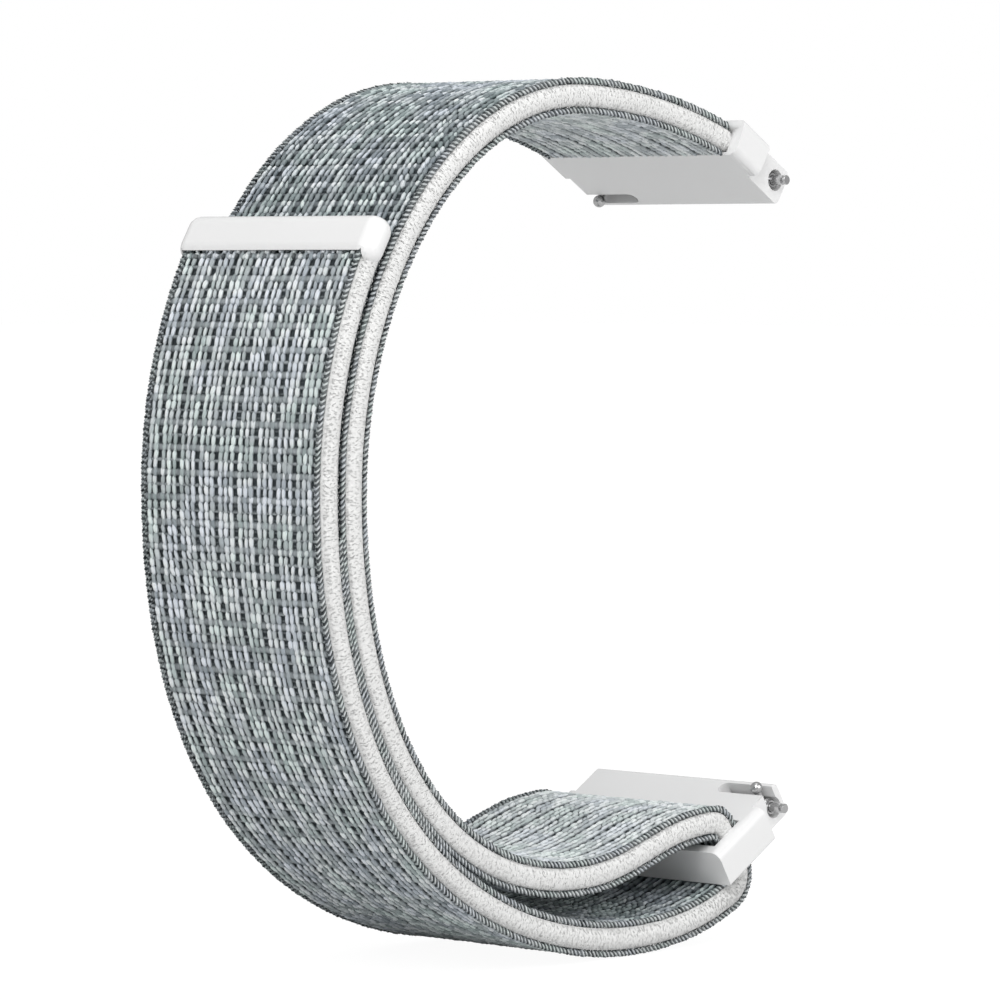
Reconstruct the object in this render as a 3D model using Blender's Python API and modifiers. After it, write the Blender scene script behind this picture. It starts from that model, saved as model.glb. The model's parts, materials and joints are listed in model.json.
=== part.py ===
"""Woven nylon watch strap with a hook-and-loop tail, for a watch with a 20 mm lug gap.

One band leaves a pocket in the upper connector, goes round the wrist, passes through the
slot of the lower connector, folds back round its crossbar and lies on itself up to the
end tab. Each connector holds a quick-release spring bar.

Metres, +Z up. X points towards the watch, Y along the spring bars. The origin lies
midway between the two spring-bar axes.
"""

import math

import bmesh
import bpy
from mathutils import Matrix, Vector

# Fit to the watch
lug_gap = 0.0200
lug_side_gap = 0.0001
bar_spacing = 0.0524

# Band
band_width = 0.0196
core_thickness = 0.00175
face_thickness = 0.00045
face_inset = 0.00030
bond_gap = 0.00003
selvedge_round = 0.00062
face_round = 0.00012

# Loop that the middle of the band follows
loop_depth = 0.0259
loop_rise = 0.0308
loop_drop = 0.0320
loop_centre_x = -0.0238
loop_centre_z = 0.0019
loop_power_above = 1.96
loop_power_below = 2.19
loop_turns = 60
layer_turns = 26

# Outer layer and tail
layer_gap = 0.00005
least_step = 0.00025
tail_length = 0.0330
layer_end_height = 0.0211
peel_gap = 0.0003
hook_tape_length = 0.0240
crest_pull_share = 0.42
fold_pull_share = 0.26
layer_pull_share = 0.42
layer_start_turn = math.radians(218.0)
layer_end_turn = math.radians(140.0)

# Connectors, lengths along the band's way through them
tilt_upper = math.radians(32.0)
tilt_lower = math.radians(31.0)
wrist_side = 0.00168
outer_side = 0.00142
lug_reach = 0.00130
lug_corner_round = 0.00045
upper_body_start = 0.00672
upper_body_end = 0.00305
upper_face_lean = math.radians(8.3)
lower_body_start = 0.00880
lower_body_end = 0.00215
lower_outer_side = 0.00160
rail = 0.00105
wrist_edge_round = 0.00085
outer_edge_round = 0.00035
lower_outer_round = 0.00020
small_round = 0.00025

# Pocket for the band's end and slot for its fold
pocket_depth = 0.00230
pocket_wall = 0.00024
fit_gap = 0.00012
crossbar = 0.00130
crossbar_round = 0.00055
fold_gap = 0.00025
fold_inner_radius = 0.00015
fold_rise = 0.00015
fold_exit_heading = -math.radians(153.0)
slot_open_turn = math.radians(68.0)
slot_free = 0.00030
slot_side_gap = 0.00015

# Spring bars
bore_radius = 0.00090
tube_radius = 0.00075
tube_bore = 0.00050
tube_end_radius = 0.00058
tube_end_bore = 0.00045
tube_end_length = 0.00030
tube_end_setback = 0.00025
tip_radius = 0.00040
tip_neck_radius = 0.00022
tip_neck_length = 0.00016
tip_reach = 0.00120
tip_head_length = 0.00018
tip_taper = 0.00006
slide_gap = 0.00004
fixed_head_length = 0.00500
plunger_length = 0.00330
lever_travel = 0.00135
lever_setback = 0.00105
lever_stem_radius = 0.00029
lever_root_radius = 0.00018
knob_radius = 0.00053
knob_lift = 0.00192
recess_width = 0.00132
recess_length = 0.00525
wire_radius = 0.00007
coil_radius = 0.00036
coil_pitch = 0.00062
coil_points = 8
coil_end_gap = 0.00008

# End tab
tab_thickness = 0.00260
tab_height = 0.00385
tab_pocket = 0.00232
tab_end_inset = 0.00040
tab_corner_share = 0.42

# Reach of every cutter past the face that it opens
overrun = 0.0010

band_thickness = core_thickness + 2 * (face_thickness + bond_gap)
lug_width = lug_gap - 2 * lug_side_gap
slot_width = band_width + 2 * slot_side_gap
body_width = slot_width + 2 * rail
bar_upper = Vector((0.0, 0.0, bar_spacing / 2))
bar_lower = Vector((0.0, 0.0, -bar_spacing / 2))


def clear_scene():
    for old in list(bpy.data.objects):
        bpy.data.objects.remove(old, do_unlink=True)


def new_collection(name):
    collection = bpy.data.collections.new(name)
    bpy.context.scene.collection.children.link(collection)
    return collection


def principled(name, colour, roughness, metallic=0.0):
    material = bpy.data.materials.new(name)
    material.use_nodes = True
    shader = material.node_tree.nodes["Principled BSDF"]
    shader.inputs["Base Color"].default_value = (*colour, 1.0)
    shader.inputs["Roughness"].default_value = roughness
    shader.inputs["Metallic"].default_value = metallic
    material.diffuse_color = (*colour, 1.0)
    return material


clear_scene()
parts = new_collection("nylon_watch_strap")
cutters = new_collection("cutters")
white_plastic = principled("white moulded plastic", (0.86, 0.86, 0.85), 0.22)
grey_weave = principled("grey green woven nylon", (0.33, 0.39, 0.40), 0.85)
pale_knit = principled("off white selvedge core", (0.74, 0.74, 0.72), 0.80)
dark_hooks = principled("hook tape", (0.20, 0.23, 0.25), 0.75)
steel = principled("polished steel", (0.62, 0.62, 0.62), 0.18, 1.0)


# Small helpers for meshes


def add_object(name, mesh, material, collection=None):
    body = bpy.data.objects.new(name, mesh)
    (collection or parts).objects.link(body)
    if material is not None:
        mesh.materials.clear()
        mesh.materials.append(material)
    return body


def as_mesh(body):
    """The evaluated mesh of an object, welded, in place of the object's own data."""
    bpy.context.view_layer.update()
    evaluated = body.evaluated_get(bpy.context.evaluated_depsgraph_get())
    mesh = bpy.data.meshes.new_from_object(evaluated)
    weld = bmesh.new()
    weld.from_mesh(mesh)
    bmesh.ops.remove_doubles(weld, verts=weld.verts, dist=bond_gap / 10)
    bmesh.ops.dissolve_degenerate(weld, edges=weld.edges, dist=bond_gap / 10)
    bmesh.ops.recalc_face_normals(weld, faces=weld.faces)
    weld.to_mesh(mesh)
    weld.free()
    solid = bpy.data.objects.new(body.name + "_solid", mesh)
    solid.matrix_world = body.matrix_world
    for collection in body.users_collection:
        collection.objects.link(solid)
    name = body.name
    bpy.data.objects.remove(body, do_unlink=True)
    solid.name = name
    return solid


def flat_outline(name, points, width, frame, material=None, collection=None, rim=0.0):
    """A closed outline in a frame's first two axes, thickened both ways along its third.

    A rim grows round the outline by that radius, the width stays as it is.
    """
    curve = bpy.data.curves.new(name, "CURVE")
    curve.dimensions = "2D"
    curve.fill_mode = "BOTH"
    curve.extrude = width / 2 - rim
    curve.bevel_depth = rim
    curve.bevel_resolution = 4
    spline = curve.splines.new("POLY")
    spline.points.add(len(points) - 1)
    for slot, (first, second) in zip(spline.points, points):
        slot.co = (first, second, 0.0, 1.0)
    spline.use_cyclic_u = True
    body = add_object(name, curve, None, collection)
    if material is not None:
        curve.materials.append(material)
    body.matrix_world = frame
    return as_mesh(body)


def turned(name, profile, frame, material, steps=24, collection=None):
    """A Screw round a frame's Z axis of (radius, height) points listed top to bottom."""
    mesh = bpy.data.meshes.new(name)
    corners = [(radius, 0.0, height) for radius, height in profile]
    edges = [(n, n + 1) for n in range(len(corners) - 1)]
    if profile[0][0] > 0.0:
        edges.append((len(corners) - 1, 0))
    mesh.from_pydata(corners, edges, [])
    body = add_object(name, mesh, material, collection)
    body.matrix_world = frame
    screw = body.modifiers.new("turn", "SCREW")
    screw.steps = steps
    screw.render_steps = steps
    screw.use_merge_vertices = True
    screw.merge_threshold = bond_gap / 10
    return body


def round_edges(body, wanted, radius, segments):
    """Rounds the edges whose middle and direction the test picks, in the body's own frame."""
    work = bmesh.new()
    work.from_mesh(body.data)
    picked = []
    for edge in work.edges:
        first, second = (corner.co for corner in edge.verts)
        if edge.is_manifold and edge.calc_face_angle(0.0) > math.radians(20):
            if wanted((first + second) / 2, (second - first).normalized()):
                picked.append(edge)
    bmesh.ops.bevel(
        work, geom=picked, offset=radius, segments=segments, profile=0.5,
        affect="EDGES", clamp_overlap=True,
    )
    work.to_mesh(body.data)
    work.free()
    return body


def boolean(body, other, operation):
    step = body.modifiers.new(operation.lower(), "BOOLEAN")
    step.operation = operation
    step.object = other
    step.solver = "EXACT"
    return as_mesh(body)


def as_cutter(body):
    body.hide_render = True
    body.display_type = "WIRE"
    return body


def cut(body, cutter):
    return boolean(body, as_cutter(cutter), "DIFFERENCE")


def smooth(body, degrees=35.0):
    body.data.shade_smooth()
    body.data.set_sharp_from_angle(angle=math.radians(degrees))
    return body


def arc(centre, radius, start, end, steps):
    """Points on an arc in a plane, ends included."""
    turns = [start + (end - start) * n / steps for n in range(steps + 1)]
    return [(centre[0] + radius * math.cos(a), centre[1] + radius * math.sin(a)) for a in turns]


# The way of the band: stations of x, z and heading, from the upper pocket to the tail's end


def loop_station(turn, depth, rise):
    """A point of the rounded-square loop at a turn of its normal, 0 at +X and 90 deg at +Z."""
    across = abs(math.cos(turn)) * depth
    along = abs(math.sin(turn)) * rise
    loop_power = loop_power_above if turn < math.pi else loop_power_below
    power = 1.0 / (loop_power - 1.0)
    size = (across ** (power + 1.0) + along ** (power + 1.0)) ** (1.0 / loop_power)
    x = math.copysign(depth * (across ** power) / size, math.cos(turn))
    z = math.copysign(rise * (along ** power) / size, math.sin(turn))
    return (loop_centre_x + x, loop_centre_z + z, turn + math.pi / 2)


def frame_of(bar, tilt, side):
    """Connector frame: X to the watch, Y outward from the wrist, Z along the spring bar."""
    along = Vector((math.cos(tilt), 0.0, -side * math.sin(tilt)))
    out = Vector((math.sin(tilt), 0.0, side * math.cos(tilt)))
    frame = Matrix.Identity(4)
    frame.col[0][:3] = along
    frame.col[1][:3] = out
    frame.col[2][:3] = along.cross(out)
    frame.translation = bar
    return frame


upper_frame = frame_of(bar_upper, tilt_upper, 1.0)
lower_frame = frame_of(bar_lower, tilt_lower, -1.0)


def place(frame, along, out):
    spot = frame @ Vector((along, out, 0.0))
    return (spot.x, spot.z)


def stepped(start, heading, length):
    return (start[0] + length * math.cos(heading), start[1] + length * math.sin(heading))


def bezier(start, start_heading, start_pull, end, end_heading, end_pull, steps):
    """Stations inside a cubic curve, both ends left out."""
    first = Vector(start)
    last = Vector(end)
    a = first + start_pull * Vector((math.cos(start_heading), math.sin(start_heading)))
    b = last - end_pull * Vector((math.cos(end_heading), math.sin(end_heading)))
    stations = []
    for n in range(1, steps):
        t = n / steps
        s = 1.0 - t
        spot = s ** 3 * first + 3 * s * s * t * a + 3 * s * t * t * b + t ** 3 * last
        way = s * s * (a - first) + 2 * s * t * (b - a) + t * t * (last - b)
        stations.append((spot.x, spot.y, math.atan2(way.y, way.x)))
    return stations


def round_corner(centre, radius, start, end, steps):
    """Stations on an arc that turns clockwise round a centre, by heading."""
    stations = []
    for n in range(steps + 1):
        heading = start + (end - start) * n / steps
        x = centre[0] - radius * math.sin(heading)
        z = centre[1] + radius * math.cos(heading)
        stations.append((x, z, heading))
    return stations


# Upper pocket: the band comes out square to the leaning face, near the wrist side
leave_heading = math.pi - (tilt_upper - upper_face_lean)
upper_middle = core_thickness / 2 + fit_gap + pocket_wall - wrist_side
upper_exit = place(
    upper_frame,
    -upper_body_start + upper_middle * math.tan(upper_face_lean),
    upper_middle,
)
pocket_end = stepped(upper_exit, leave_heading, -pocket_depth)

# The loop's right half is as deep as it takes to meet that exit square on
exit_height_share = (upper_exit[1] - loop_centre_z) / loop_rise
exit_reach_share = (1.0 - exit_height_share ** loop_power_above) ** (1.0 / loop_power_above)
crown_depth = (upper_exit[0] - loop_centre_x) / exit_reach_share
exit_turn = math.atan2(
    exit_height_share ** (loop_power_above - 1.0) / loop_rise,
    exit_reach_share ** (loop_power_above - 1.0) / crown_depth,
)

# Crossbar and fold: the corner centres lie past the crossbar's two long faces
crossbar_middle = -lower_body_start + crossbar / 2
fold_radius = fold_inner_radius + band_thickness / 2
body_middle = (lower_outer_side - wrist_side) / 2
corner_along = crossbar_middle + crossbar / 2 + fold_gap - fold_inner_radius
corner_drop = (lower_outer_side + wrist_side) / 2 + fold_rise
wrist_corner = place(lower_frame, corner_along, body_middle - corner_drop)
outer_corner = place(lower_frame, corner_along, body_middle + corner_drop)
slot_heading = tilt_lower - math.pi / 2


def inner_stations():
    """Upper pocket to the crossbar's wrist side."""
    quarter = loop_turns // 4
    stations = [(*pocket_end, leave_heading), (*upper_exit, leave_heading)]
    for n in range(1, quarter):
        turn = exit_turn + (math.pi / 2 - exit_turn) * n / quarter
        stations.append(loop_station(turn, crown_depth, loop_rise))
    for n in range(loop_turns // 2):
        turn = math.pi / 2 + math.pi * n / (loop_turns // 2)
        rise = loop_rise if turn < math.pi else loop_drop
        stations.append(loop_station(turn, loop_depth, rise))
    bottom = loop_station(1.5 * math.pi, loop_depth, loop_drop)
    stations.append((bottom[0], bottom[1], 0.0))
    over = round_corner(wrist_corner, fold_radius, 0.0, slot_heading, 6)
    pull = crest_pull_share * (over[0][0] - bottom[0])
    stations += bezier(bottom[:2], 0.0, pull, over[0][:2], 0.0, pull, 9)
    return stations + over


def layer_stations():
    """The outer layer on the inner one, from the lower left up to the tail's end."""
    pitch = band_thickness + layer_gap
    stations = []
    for n in range(layer_turns + 1):
        turn = layer_start_turn + (layer_end_turn - layer_start_turn) * n / layer_turns
        rise = loop_rise if turn < math.pi else loop_drop
        x, z, _ = loop_station(turn, loop_depth, rise)
        x += pitch * math.cos(turn)
        z += pitch * math.sin(turn)
        if z > layer_end_height:
            before = stations[-1]
            share = (layer_end_height - before[1]) / (z - before[1])
            turn = before[2] + math.pi / 2 + share * (turn - before[2] - math.pi / 2)
            stations.append((before[0] + share * (x - before[0]), layer_end_height, turn - math.pi / 2))
            break
        stations.append((x, z, turn - math.pi / 2))
    return stations


def way_of_the_band():
    inner = inner_stations()
    layer = layer_stations()
    under = round_corner(outer_corner, fold_radius, slot_heading, fold_exit_heading, 8)
    start = under[-1]
    end = layer[0]
    reach = math.dist(start[:2], end[:2])
    pulls = (fold_pull_share * reach, layer_pull_share * reach)
    across = bezier(start[:2], start[2], pulls[0], end[:2], end[2], pulls[1], 18)
    return inner + under + across + layer


def lengths_along(stations):
    total = 0.0
    marks = [0.0]
    for before, after in zip(stations, stations[1:]):
        total += math.dist(before[:2], after[:2])
        marks.append(total)
    return marks


def station_at(stations, marks, length):
    for n in range(1, len(marks)):
        if marks[n] >= length:
            share = (length - marks[n - 1]) / (marks[n] - marks[n - 1])
            x = stations[n - 1][0] + share * (stations[n][0] - stations[n - 1][0])
            z = stations[n - 1][1] + share * (stations[n][1] - stations[n - 1][1])
            turn = stations[n][2] - stations[n - 1][2]
            turn = (turn + math.pi) % (2 * math.pi) - math.pi
            return (x, z, stations[n - 1][2] + share * turn)
    return stations[-1]


def stretch(stations, start, end):
    """The stations from one length to another, with a new one at each end."""
    marks = lengths_along(stations)
    low = start + least_step
    high = end - least_step
    inside = [s for s, mark in zip(stations, marks) if low < mark < high]
    return [station_at(stations, marks, start)] + inside + [station_at(stations, marks, end)]


def beside(station, offset):
    """The point an offset to the left of a station's heading."""
    x, z, heading = station
    return (x - offset * math.sin(heading), z + offset * math.cos(heading))


way = way_of_the_band()
way_length = lengths_along(way)[-1]
peel_mark = way_length - tail_length
xz_frame = Matrix.Rotation(math.pi / 2, 4, "X")


def ribbon(name, stations, low, high, width, rounding, segments, material):
    """A layer of the band between two offsets from its middle, with rounded long edges."""
    outline = [beside(s, low) for s in stations] + [beside(s, high) for s in reversed(stations)]
    body = flat_outline(name, outline, width, xz_frame, material)
    half = width / 2

    def on_side(middle, direction):
        return abs(abs(middle.z) - half) < bond_gap and abs(direction.z) < 0.5

    round_edges(body, on_side, rounding, segments)
    return smooth(body)


def band_pieces():
    face_width = band_width - 2 * face_inset
    half_core = core_thickness / 2
    face_low = half_core + bond_gap
    face_high = face_low + face_thickness
    main_end = peel_mark - peel_gap / 2
    tail = stretch(way, peel_mark + peel_gap / 2, way_length)
    tongue = stretch(way, 0.0, main_end)
    main = stretch(way, pocket_depth + fit_gap, main_end)
    ribbon("band_core", tongue, -half_core, half_core, band_width, selvedge_round, 2, pale_knit)
    ribbon("band_show_face", main, face_low, face_high, face_width, face_round, 1, grey_weave)
    ribbon("band_loop_face", main, -face_high, -face_low, face_width, face_round, 1, grey_weave)
    ribbon("tail_core", tail, -half_core, half_core, band_width, selvedge_round, 2, pale_knit)
    ribbon("tail_show_face", tail, face_low, face_high, face_width, face_round, 1, grey_weave)
    seam = way_length - hook_tape_length
    loops = stretch(way, peel_mark + peel_gap / 2, seam - peel_gap / 2)
    hooks = stretch(way, seam + peel_gap / 2, way_length)
    ribbon("tail_loop_face", loops, -face_high, -face_low, face_width, face_round, 1, grey_weave)
    ribbon("tail_hook_tape", hooks, -face_high, -face_low, face_width, face_round, 1, dark_hooks)


# Connectors


def lug_outline(start):
    """Side outline of the lug part, its watch end rounded at both corners."""
    round_in = (lug_reach - lug_corner_round, lug_corner_round - wrist_side)
    round_out = (lug_reach - lug_corner_round, outer_side - lug_corner_round)
    points = [(start, outer_side), (start, -wrist_side)]
    points += arc(round_in, lug_corner_round, -math.pi / 2, 0.0, 4)
    points += arc(round_out, lug_corner_round, 0.0, math.pi / 2, 4)
    return points


def body_outline(start, end, lean, top, top_round):
    """Side outline of the wider main body, its strap face leaning back at the wrist side."""
    low = -start + wrist_side * math.tan(lean)
    high = -start - top * math.tan(lean)
    round_in = (-end - small_round, small_round - wrist_side)
    points = [(high, top), (low, -wrist_side)]
    points += arc(round_in, small_round, -math.pi / 2, 0.0, 3)
    round_out = (-end - top_round, top - top_round)
    points += arc(round_out, top_round, 0.0, math.pi / 2, 3)
    return points


def section_outline(top, top_round):
    """Main body seen along the band's way, its rounds wide where they face the wrist."""
    half = body_width / 2
    inner = half - wrist_edge_round
    outer = half - top_round
    floor = wrist_edge_round - wrist_side
    roof = top - top_round
    points = arc((-inner, floor), wrist_edge_round, math.pi, 1.5 * math.pi, 5)
    points += arc((inner, floor), wrist_edge_round, 1.5 * math.pi, 2 * math.pi, 5)
    points += arc((outer, roof), top_round, 0.0, math.pi / 2, 3)
    points += arc((-outer, roof), top_round, math.pi / 2, math.pi, 3)
    return points


def section_frame(frame, along):
    """A frame turned to look along its X, moved a length along it."""
    turned_frame = Matrix.Identity(4)
    turned_frame.col[0][:3] = frame.col[2].xyz
    turned_frame.col[1][:3] = frame.col[1].xyz
    turned_frame.col[2][:3] = -frame.col[0].xyz
    turned_frame.translation = frame.translation + frame.col[0].xyz * along
    return turned_frame


def soften_lug(body):
    """Rounds the rim of both side faces of the lug part."""

    def rim(middle, direction):
        return abs(abs(middle.z) - lug_width / 2) < bond_gap and abs(direction.z) < 0.5

    return round_edges(body, rim, small_round, 2)


def bar_frame(frame, toward):
    """A frame on the spring-bar axis whose Z points to the sprung end, X out of the wrist face."""
    turned_frame = Matrix.Identity(4)
    out = -frame.col[1].xyz
    along = Vector((0.0, toward, 0.0))
    turned_frame.col[0][:3] = out
    turned_frame.col[1][:3] = along.cross(out)
    turned_frame.col[2][:3] = along
    turned_frame.translation = frame.translation
    return turned_frame


def connector_blank(name, frame, start, end, lean, top, top_round):
    """Main body and narrower lug part as one moulding.

    The main body is what its side outline and its section outline have in common.
    """
    side = body_outline(start, end, lean, top, top_round)
    main = flat_outline(name, side, body_width + 2 * overrun, frame, white_plastic)
    middle = section_frame(frame, -(start + end) / 2)
    reach = start - end + 2 * overrun
    across = section_outline(top, top_round)
    section = flat_outline(name + "_section", across, reach, middle, None, cutters)
    main = boolean(main, as_cutter(section), "INTERSECT")
    lug_start = -end - small_round - wrist_edge_round
    lug = flat_outline(name + "_lug", lug_outline(lug_start), lug_width, frame, white_plastic, cutters)
    soften_lug(lug)
    return boolean(main, as_cutter(lug), "UNION")


def seat_spring_bar(body, frame, toward):
    """Bores the lug part for the bar and opens the recess that its lever stands in."""
    name = body.name
    axis = bar_frame(frame, toward)
    far = lug_width / 2 + overrun
    hole = [(0.0, far), (bore_radius, far), (bore_radius, -far), (0.0, -far)]
    body = cut(body, turned(name + "_bore", hole, axis, None, 24, cutters))
    return cut(body, lever_recess(name + "_recess", axis))


def lever_recess(name, axis):
    """Round-ended slot from the wrist face down to the bore, open at the sprung side."""
    half = recess_width / 2
    near = lug_width / 2 + overrun
    far = lug_width / 2 - recess_length + half
    points = [(-half, near)]
    points += arc((0.0, far), half, math.pi, 2 * math.pi, 8)
    points += [(half, near)]
    height = wrist_side + overrun
    frame = Matrix.Identity(4)
    frame.col[0][:3] = axis.col[1].xyz
    frame.col[1][:3] = axis.col[2].xyz
    frame.col[2][:3] = axis.col[0].xyz
    frame.translation = axis.translation + axis.col[0].xyz * height / 2
    return flat_outline(name, points, height, frame, None, cutters)


def upper_connector():
    """The core's end goes into a closed pocket, the woven faces stop at its mouth."""
    body = connector_blank(
        "upper_connector", upper_frame, upper_body_start, upper_body_end, upper_face_lean,
        outer_side, outer_edge_round,
    )
    half = core_thickness / 2 + fit_gap
    mouth = stepped(upper_exit, leave_heading, overrun)
    floor = stepped(pocket_end, leave_heading, -fit_gap)
    normal = leave_heading + math.pi / 2
    points = [
        stepped(mouth, normal, half),
        stepped(mouth, normal, -half),
        stepped(floor, normal, -half),
        stepped(floor, normal, half),
    ]
    pocket = flat_outline("upper_pocket", points, slot_width, xz_frame, None, cutters)
    return smooth(seat_spring_bar(cut(body, pocket), upper_frame, 1.0))


def slot_outline():
    """Slot seen from the side: its strap-side wall rounds off towards both mouths."""
    near = crossbar_middle + crossbar / 2
    far = near + fold_gap + band_thickness + slot_free
    points = []
    for face, side in ((lower_outer_side, 1.0), (wrist_side, -1.0)):
        centre = (near - crossbar_round, side * (face - crossbar_round))
        rim = arc(centre, crossbar_round, side * slot_open_turn, 0.0, 4)
        start = rim[0]
        run = (face + overrun - abs(start[1])) * math.tan(slot_open_turn)
        mouth = [(far, side * (face + overrun)), (start[0] - run, side * (face + overrun))]
        if side > 0:
            points += mouth + rim
        else:
            points += list(reversed(mouth + rim))
    return points


def lower_connector():
    body = connector_blank(
        "lower_connector", lower_frame, lower_body_start, lower_body_end, 0.0,
        lower_outer_side, lower_outer_round,
    )
    slot = flat_outline("lower_slot", slot_outline(), slot_width, lower_frame, None, cutters)
    return smooth(seat_spring_bar(cut(body, slot), lower_frame, -1.0))


# Spring bars: each piece is turned on the bar's axis, its sprung end at +Z of the frame

tube_end = lug_width / 2 - tube_end_setback


def tip_profile(head_radius, head_end):
    """End flange, thin neck, shank and the head inside the tube; listed top to bottom."""
    top = lug_gap / 2 + tip_reach
    neck_top = top - tip_head_length - tip_taper
    neck_foot = neck_top - tip_neck_length
    shoulder = tube_end - tube_end_length - slide_gap
    return [
        (0.0, top),
        (tip_radius - tip_taper, top),
        (tip_radius, top - tip_taper),
        (tip_radius, top - tip_head_length),
        (tip_neck_radius, neck_top),
        (tip_neck_radius, neck_foot),
        (tip_radius, neck_foot - tip_taper),
        (tip_radius, shoulder),
        (head_radius, shoulder),
        (head_radius, head_end),
        (0.0, head_end),
    ]


def bar_tube(name, axis):
    """Tube with drawn-in ends and the lever's slot in its wrist side."""
    ends = tube_end - tube_end_length
    profile = [
        (tube_end_bore, tube_end),
        (tube_end_radius, tube_end),
        (tube_end_radius, ends),
        (tube_radius, ends - tip_taper),
        (tube_radius, -ends + tip_taper),
        (tube_end_radius, -ends),
        (tube_end_radius, -tube_end),
        (tube_end_bore, -tube_end),
        (tube_end_bore, -ends),
        (tube_bore, -ends),
        (tube_bore, ends),
        (tube_end_bore, ends),
    ]
    tube = turned(name, profile, axis, steel, 20)
    half = lever_stem_radius + slide_gap
    high = lug_width / 2 - lever_setback
    low = high - lever_travel
    points = arc((0.0, low), half, math.pi, 2 * math.pi, 6)
    points += arc((0.0, high), half, 0.0, math.pi, 6)
    frame = Matrix.Identity(4)
    frame.col[0][:3] = axis.col[1].xyz
    frame.col[1][:3] = axis.col[2].xyz
    frame.col[2][:3] = axis.col[0].xyz
    height = tube_radius + overrun
    frame.translation = axis.translation + axis.col[0].xyz * height / 2
    slot = flat_outline(name + "_slot", points, height, frame, None, cutters)
    return smooth(cut(as_mesh(tube), slot))


def spring_bar(prefix, frame, toward):
    axis = bar_frame(frame, toward)
    away = bar_frame(frame, -toward)
    bar_tube(prefix + "_bar_tube", axis)
    head_radius = tube_bore - slide_gap
    shoulder = tube_end - tube_end_length - slide_gap
    fixed = tip_profile(head_radius, shoulder - fixed_head_length)
    smooth_turn(turned(prefix + "_fixed_tip", fixed, away, steel, 16))
    sprung = tip_profile(head_radius, shoulder - plunger_length)
    tip = as_mesh(turned(prefix + "_sprung_tip", sprung, axis, steel, 16))
    lever_at = lug_width / 2 - lever_setback
    cross = Matrix.Identity(4)
    cross.col[0][:3] = -axis.col[2].xyz
    cross.col[1][:3] = axis.col[1].xyz
    cross.col[2][:3] = axis.col[0].xyz
    cross.translation = axis.translation + axis.col[2].xyz * lever_at
    root = lever_root_radius + slide_gap
    hole = [(0.0, tube_radius), (root, tube_radius), (root, -tube_radius), (0.0, -tube_radius)]
    smooth(cut(tip, turned(prefix + "_lever_hole", hole, cross, None, 10, cutters)))
    lever(prefix + "_lever", cross)
    low = -(shoulder - fixed_head_length) + coil_end_gap + wire_radius
    high = shoulder - plunger_length - coil_end_gap - wire_radius
    coil_spring(prefix + "_coil_spring", axis, low, high)


def smooth_turn(body):
    body.data.shade_smooth()
    return body


def lever(name, cross):
    """Thin root in the plunger, stem up the recess and a ball knob on its end."""
    step = tube_bore + slide_gap
    start = math.asin(lever_stem_radius / knob_radius) - math.pi / 2
    profile = []
    for n in range(9):
        turn = math.pi / 2 + (start - math.pi / 2) * n / 8
        radius = max(0.0, knob_radius * math.cos(turn)) if n else 0.0
        profile.append((radius, knob_lift + knob_radius * math.sin(turn)))
    profile += [
        (lever_stem_radius, step),
        (lever_root_radius, step - slide_gap),
        (lever_root_radius, -lever_root_radius),
        (0.0, -lever_root_radius),
    ]
    return smooth_turn(turned(name, profile, cross, steel, 14))


def coil_spring(name, axis, low, high):
    """One unbroken wound wire between the fixed tip's head and the plunger."""
    curls = max(1, round((high - low) / coil_pitch))
    steps = curls * coil_points
    points = []
    for n in range(steps + 1):
        turn = 2 * math.pi * n / coil_points
        height = low + (high - low) * n / steps
        spot = Vector((coil_radius * math.cos(turn), coil_radius * math.sin(turn), height))
        points.append(spot)
    curve = bpy.data.curves.new(name, "CURVE")
    curve.dimensions = "3D"
    curve.bevel_depth = wire_radius
    curve.bevel_resolution = 1
    curve.use_fill_caps = True
    curve.materials.append(steel)
    spline = curve.splines.new("POLY")
    spline.points.add(len(points) - 1)
    for slot, spot in zip(spline.points, points):
        slot.co = (*spot, 1.0)
    body = add_object(name, curve, None)
    body.matrix_world = axis
    print(name, "curls", curls, "least gap to itself in mm", round(1000 * own_gap(points), 3))
    return body


def own_gap(points):
    """Least clear distance between parts of the wire half a curl or more apart."""
    least = math.inf
    for n, spot in enumerate(points):
        for other in points[n + coil_points // 2:]:
            least = min(least, (other - spot).length)
    return least - 2 * wire_radius


# End tab


def end_tab():
    """Bar with ball-like ends on the tail's end, from the core's wrist side outwards."""
    x, z, heading = way[-1]
    outward = heading + math.pi / 2
    frame = Matrix.Identity(4)
    frame.col[0][:3] = (math.cos(heading), 0.0, math.sin(heading))
    frame.col[1][:3] = (math.cos(outward), 0.0, math.sin(outward))
    frame.col[2][:3] = frame.col[0].xyz.cross(frame.col[1].xyz)
    frame.translation = (x, 0.0, z)
    low = fit_gap - tab_pocket
    plan = section_frame(frame, low + tab_height / 2)
    plan.translation += frame.col[1].xyz * (tab_thickness - core_thickness) / 2
    corner = tab_corner_share * tab_thickness
    inner = tab_thickness / 2 - corner
    reach = band_width / 2 - tab_end_inset
    points = arc((reach, 0.0), inner, -math.pi / 2, math.pi / 2, 10)
    points += arc((-reach, 0.0), inner, math.pi / 2, 1.5 * math.pi, 10)
    body = flat_outline("end_tab", points, tab_height, plan, white_plastic, rim=corner)
    half = band_thickness / 2 + fit_gap
    mouth = low - overrun
    slot = [(mouth, -half - overrun), (fit_gap, -half - overrun), (fit_gap, half), (mouth, half)]
    pocket = flat_outline("tab_pocket", slot, band_width + 2 * fit_gap, frame, None, cutters)
    return smooth(cut(body, pocket))


band_pieces()
upper_connector()
lower_connector()
spring_bar("upper", upper_frame, 1.0)
spring_bar("lower", lower_frame, -1.0)
end_tab()
print("band length in mm", round(1000 * way_length, 2))
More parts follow.
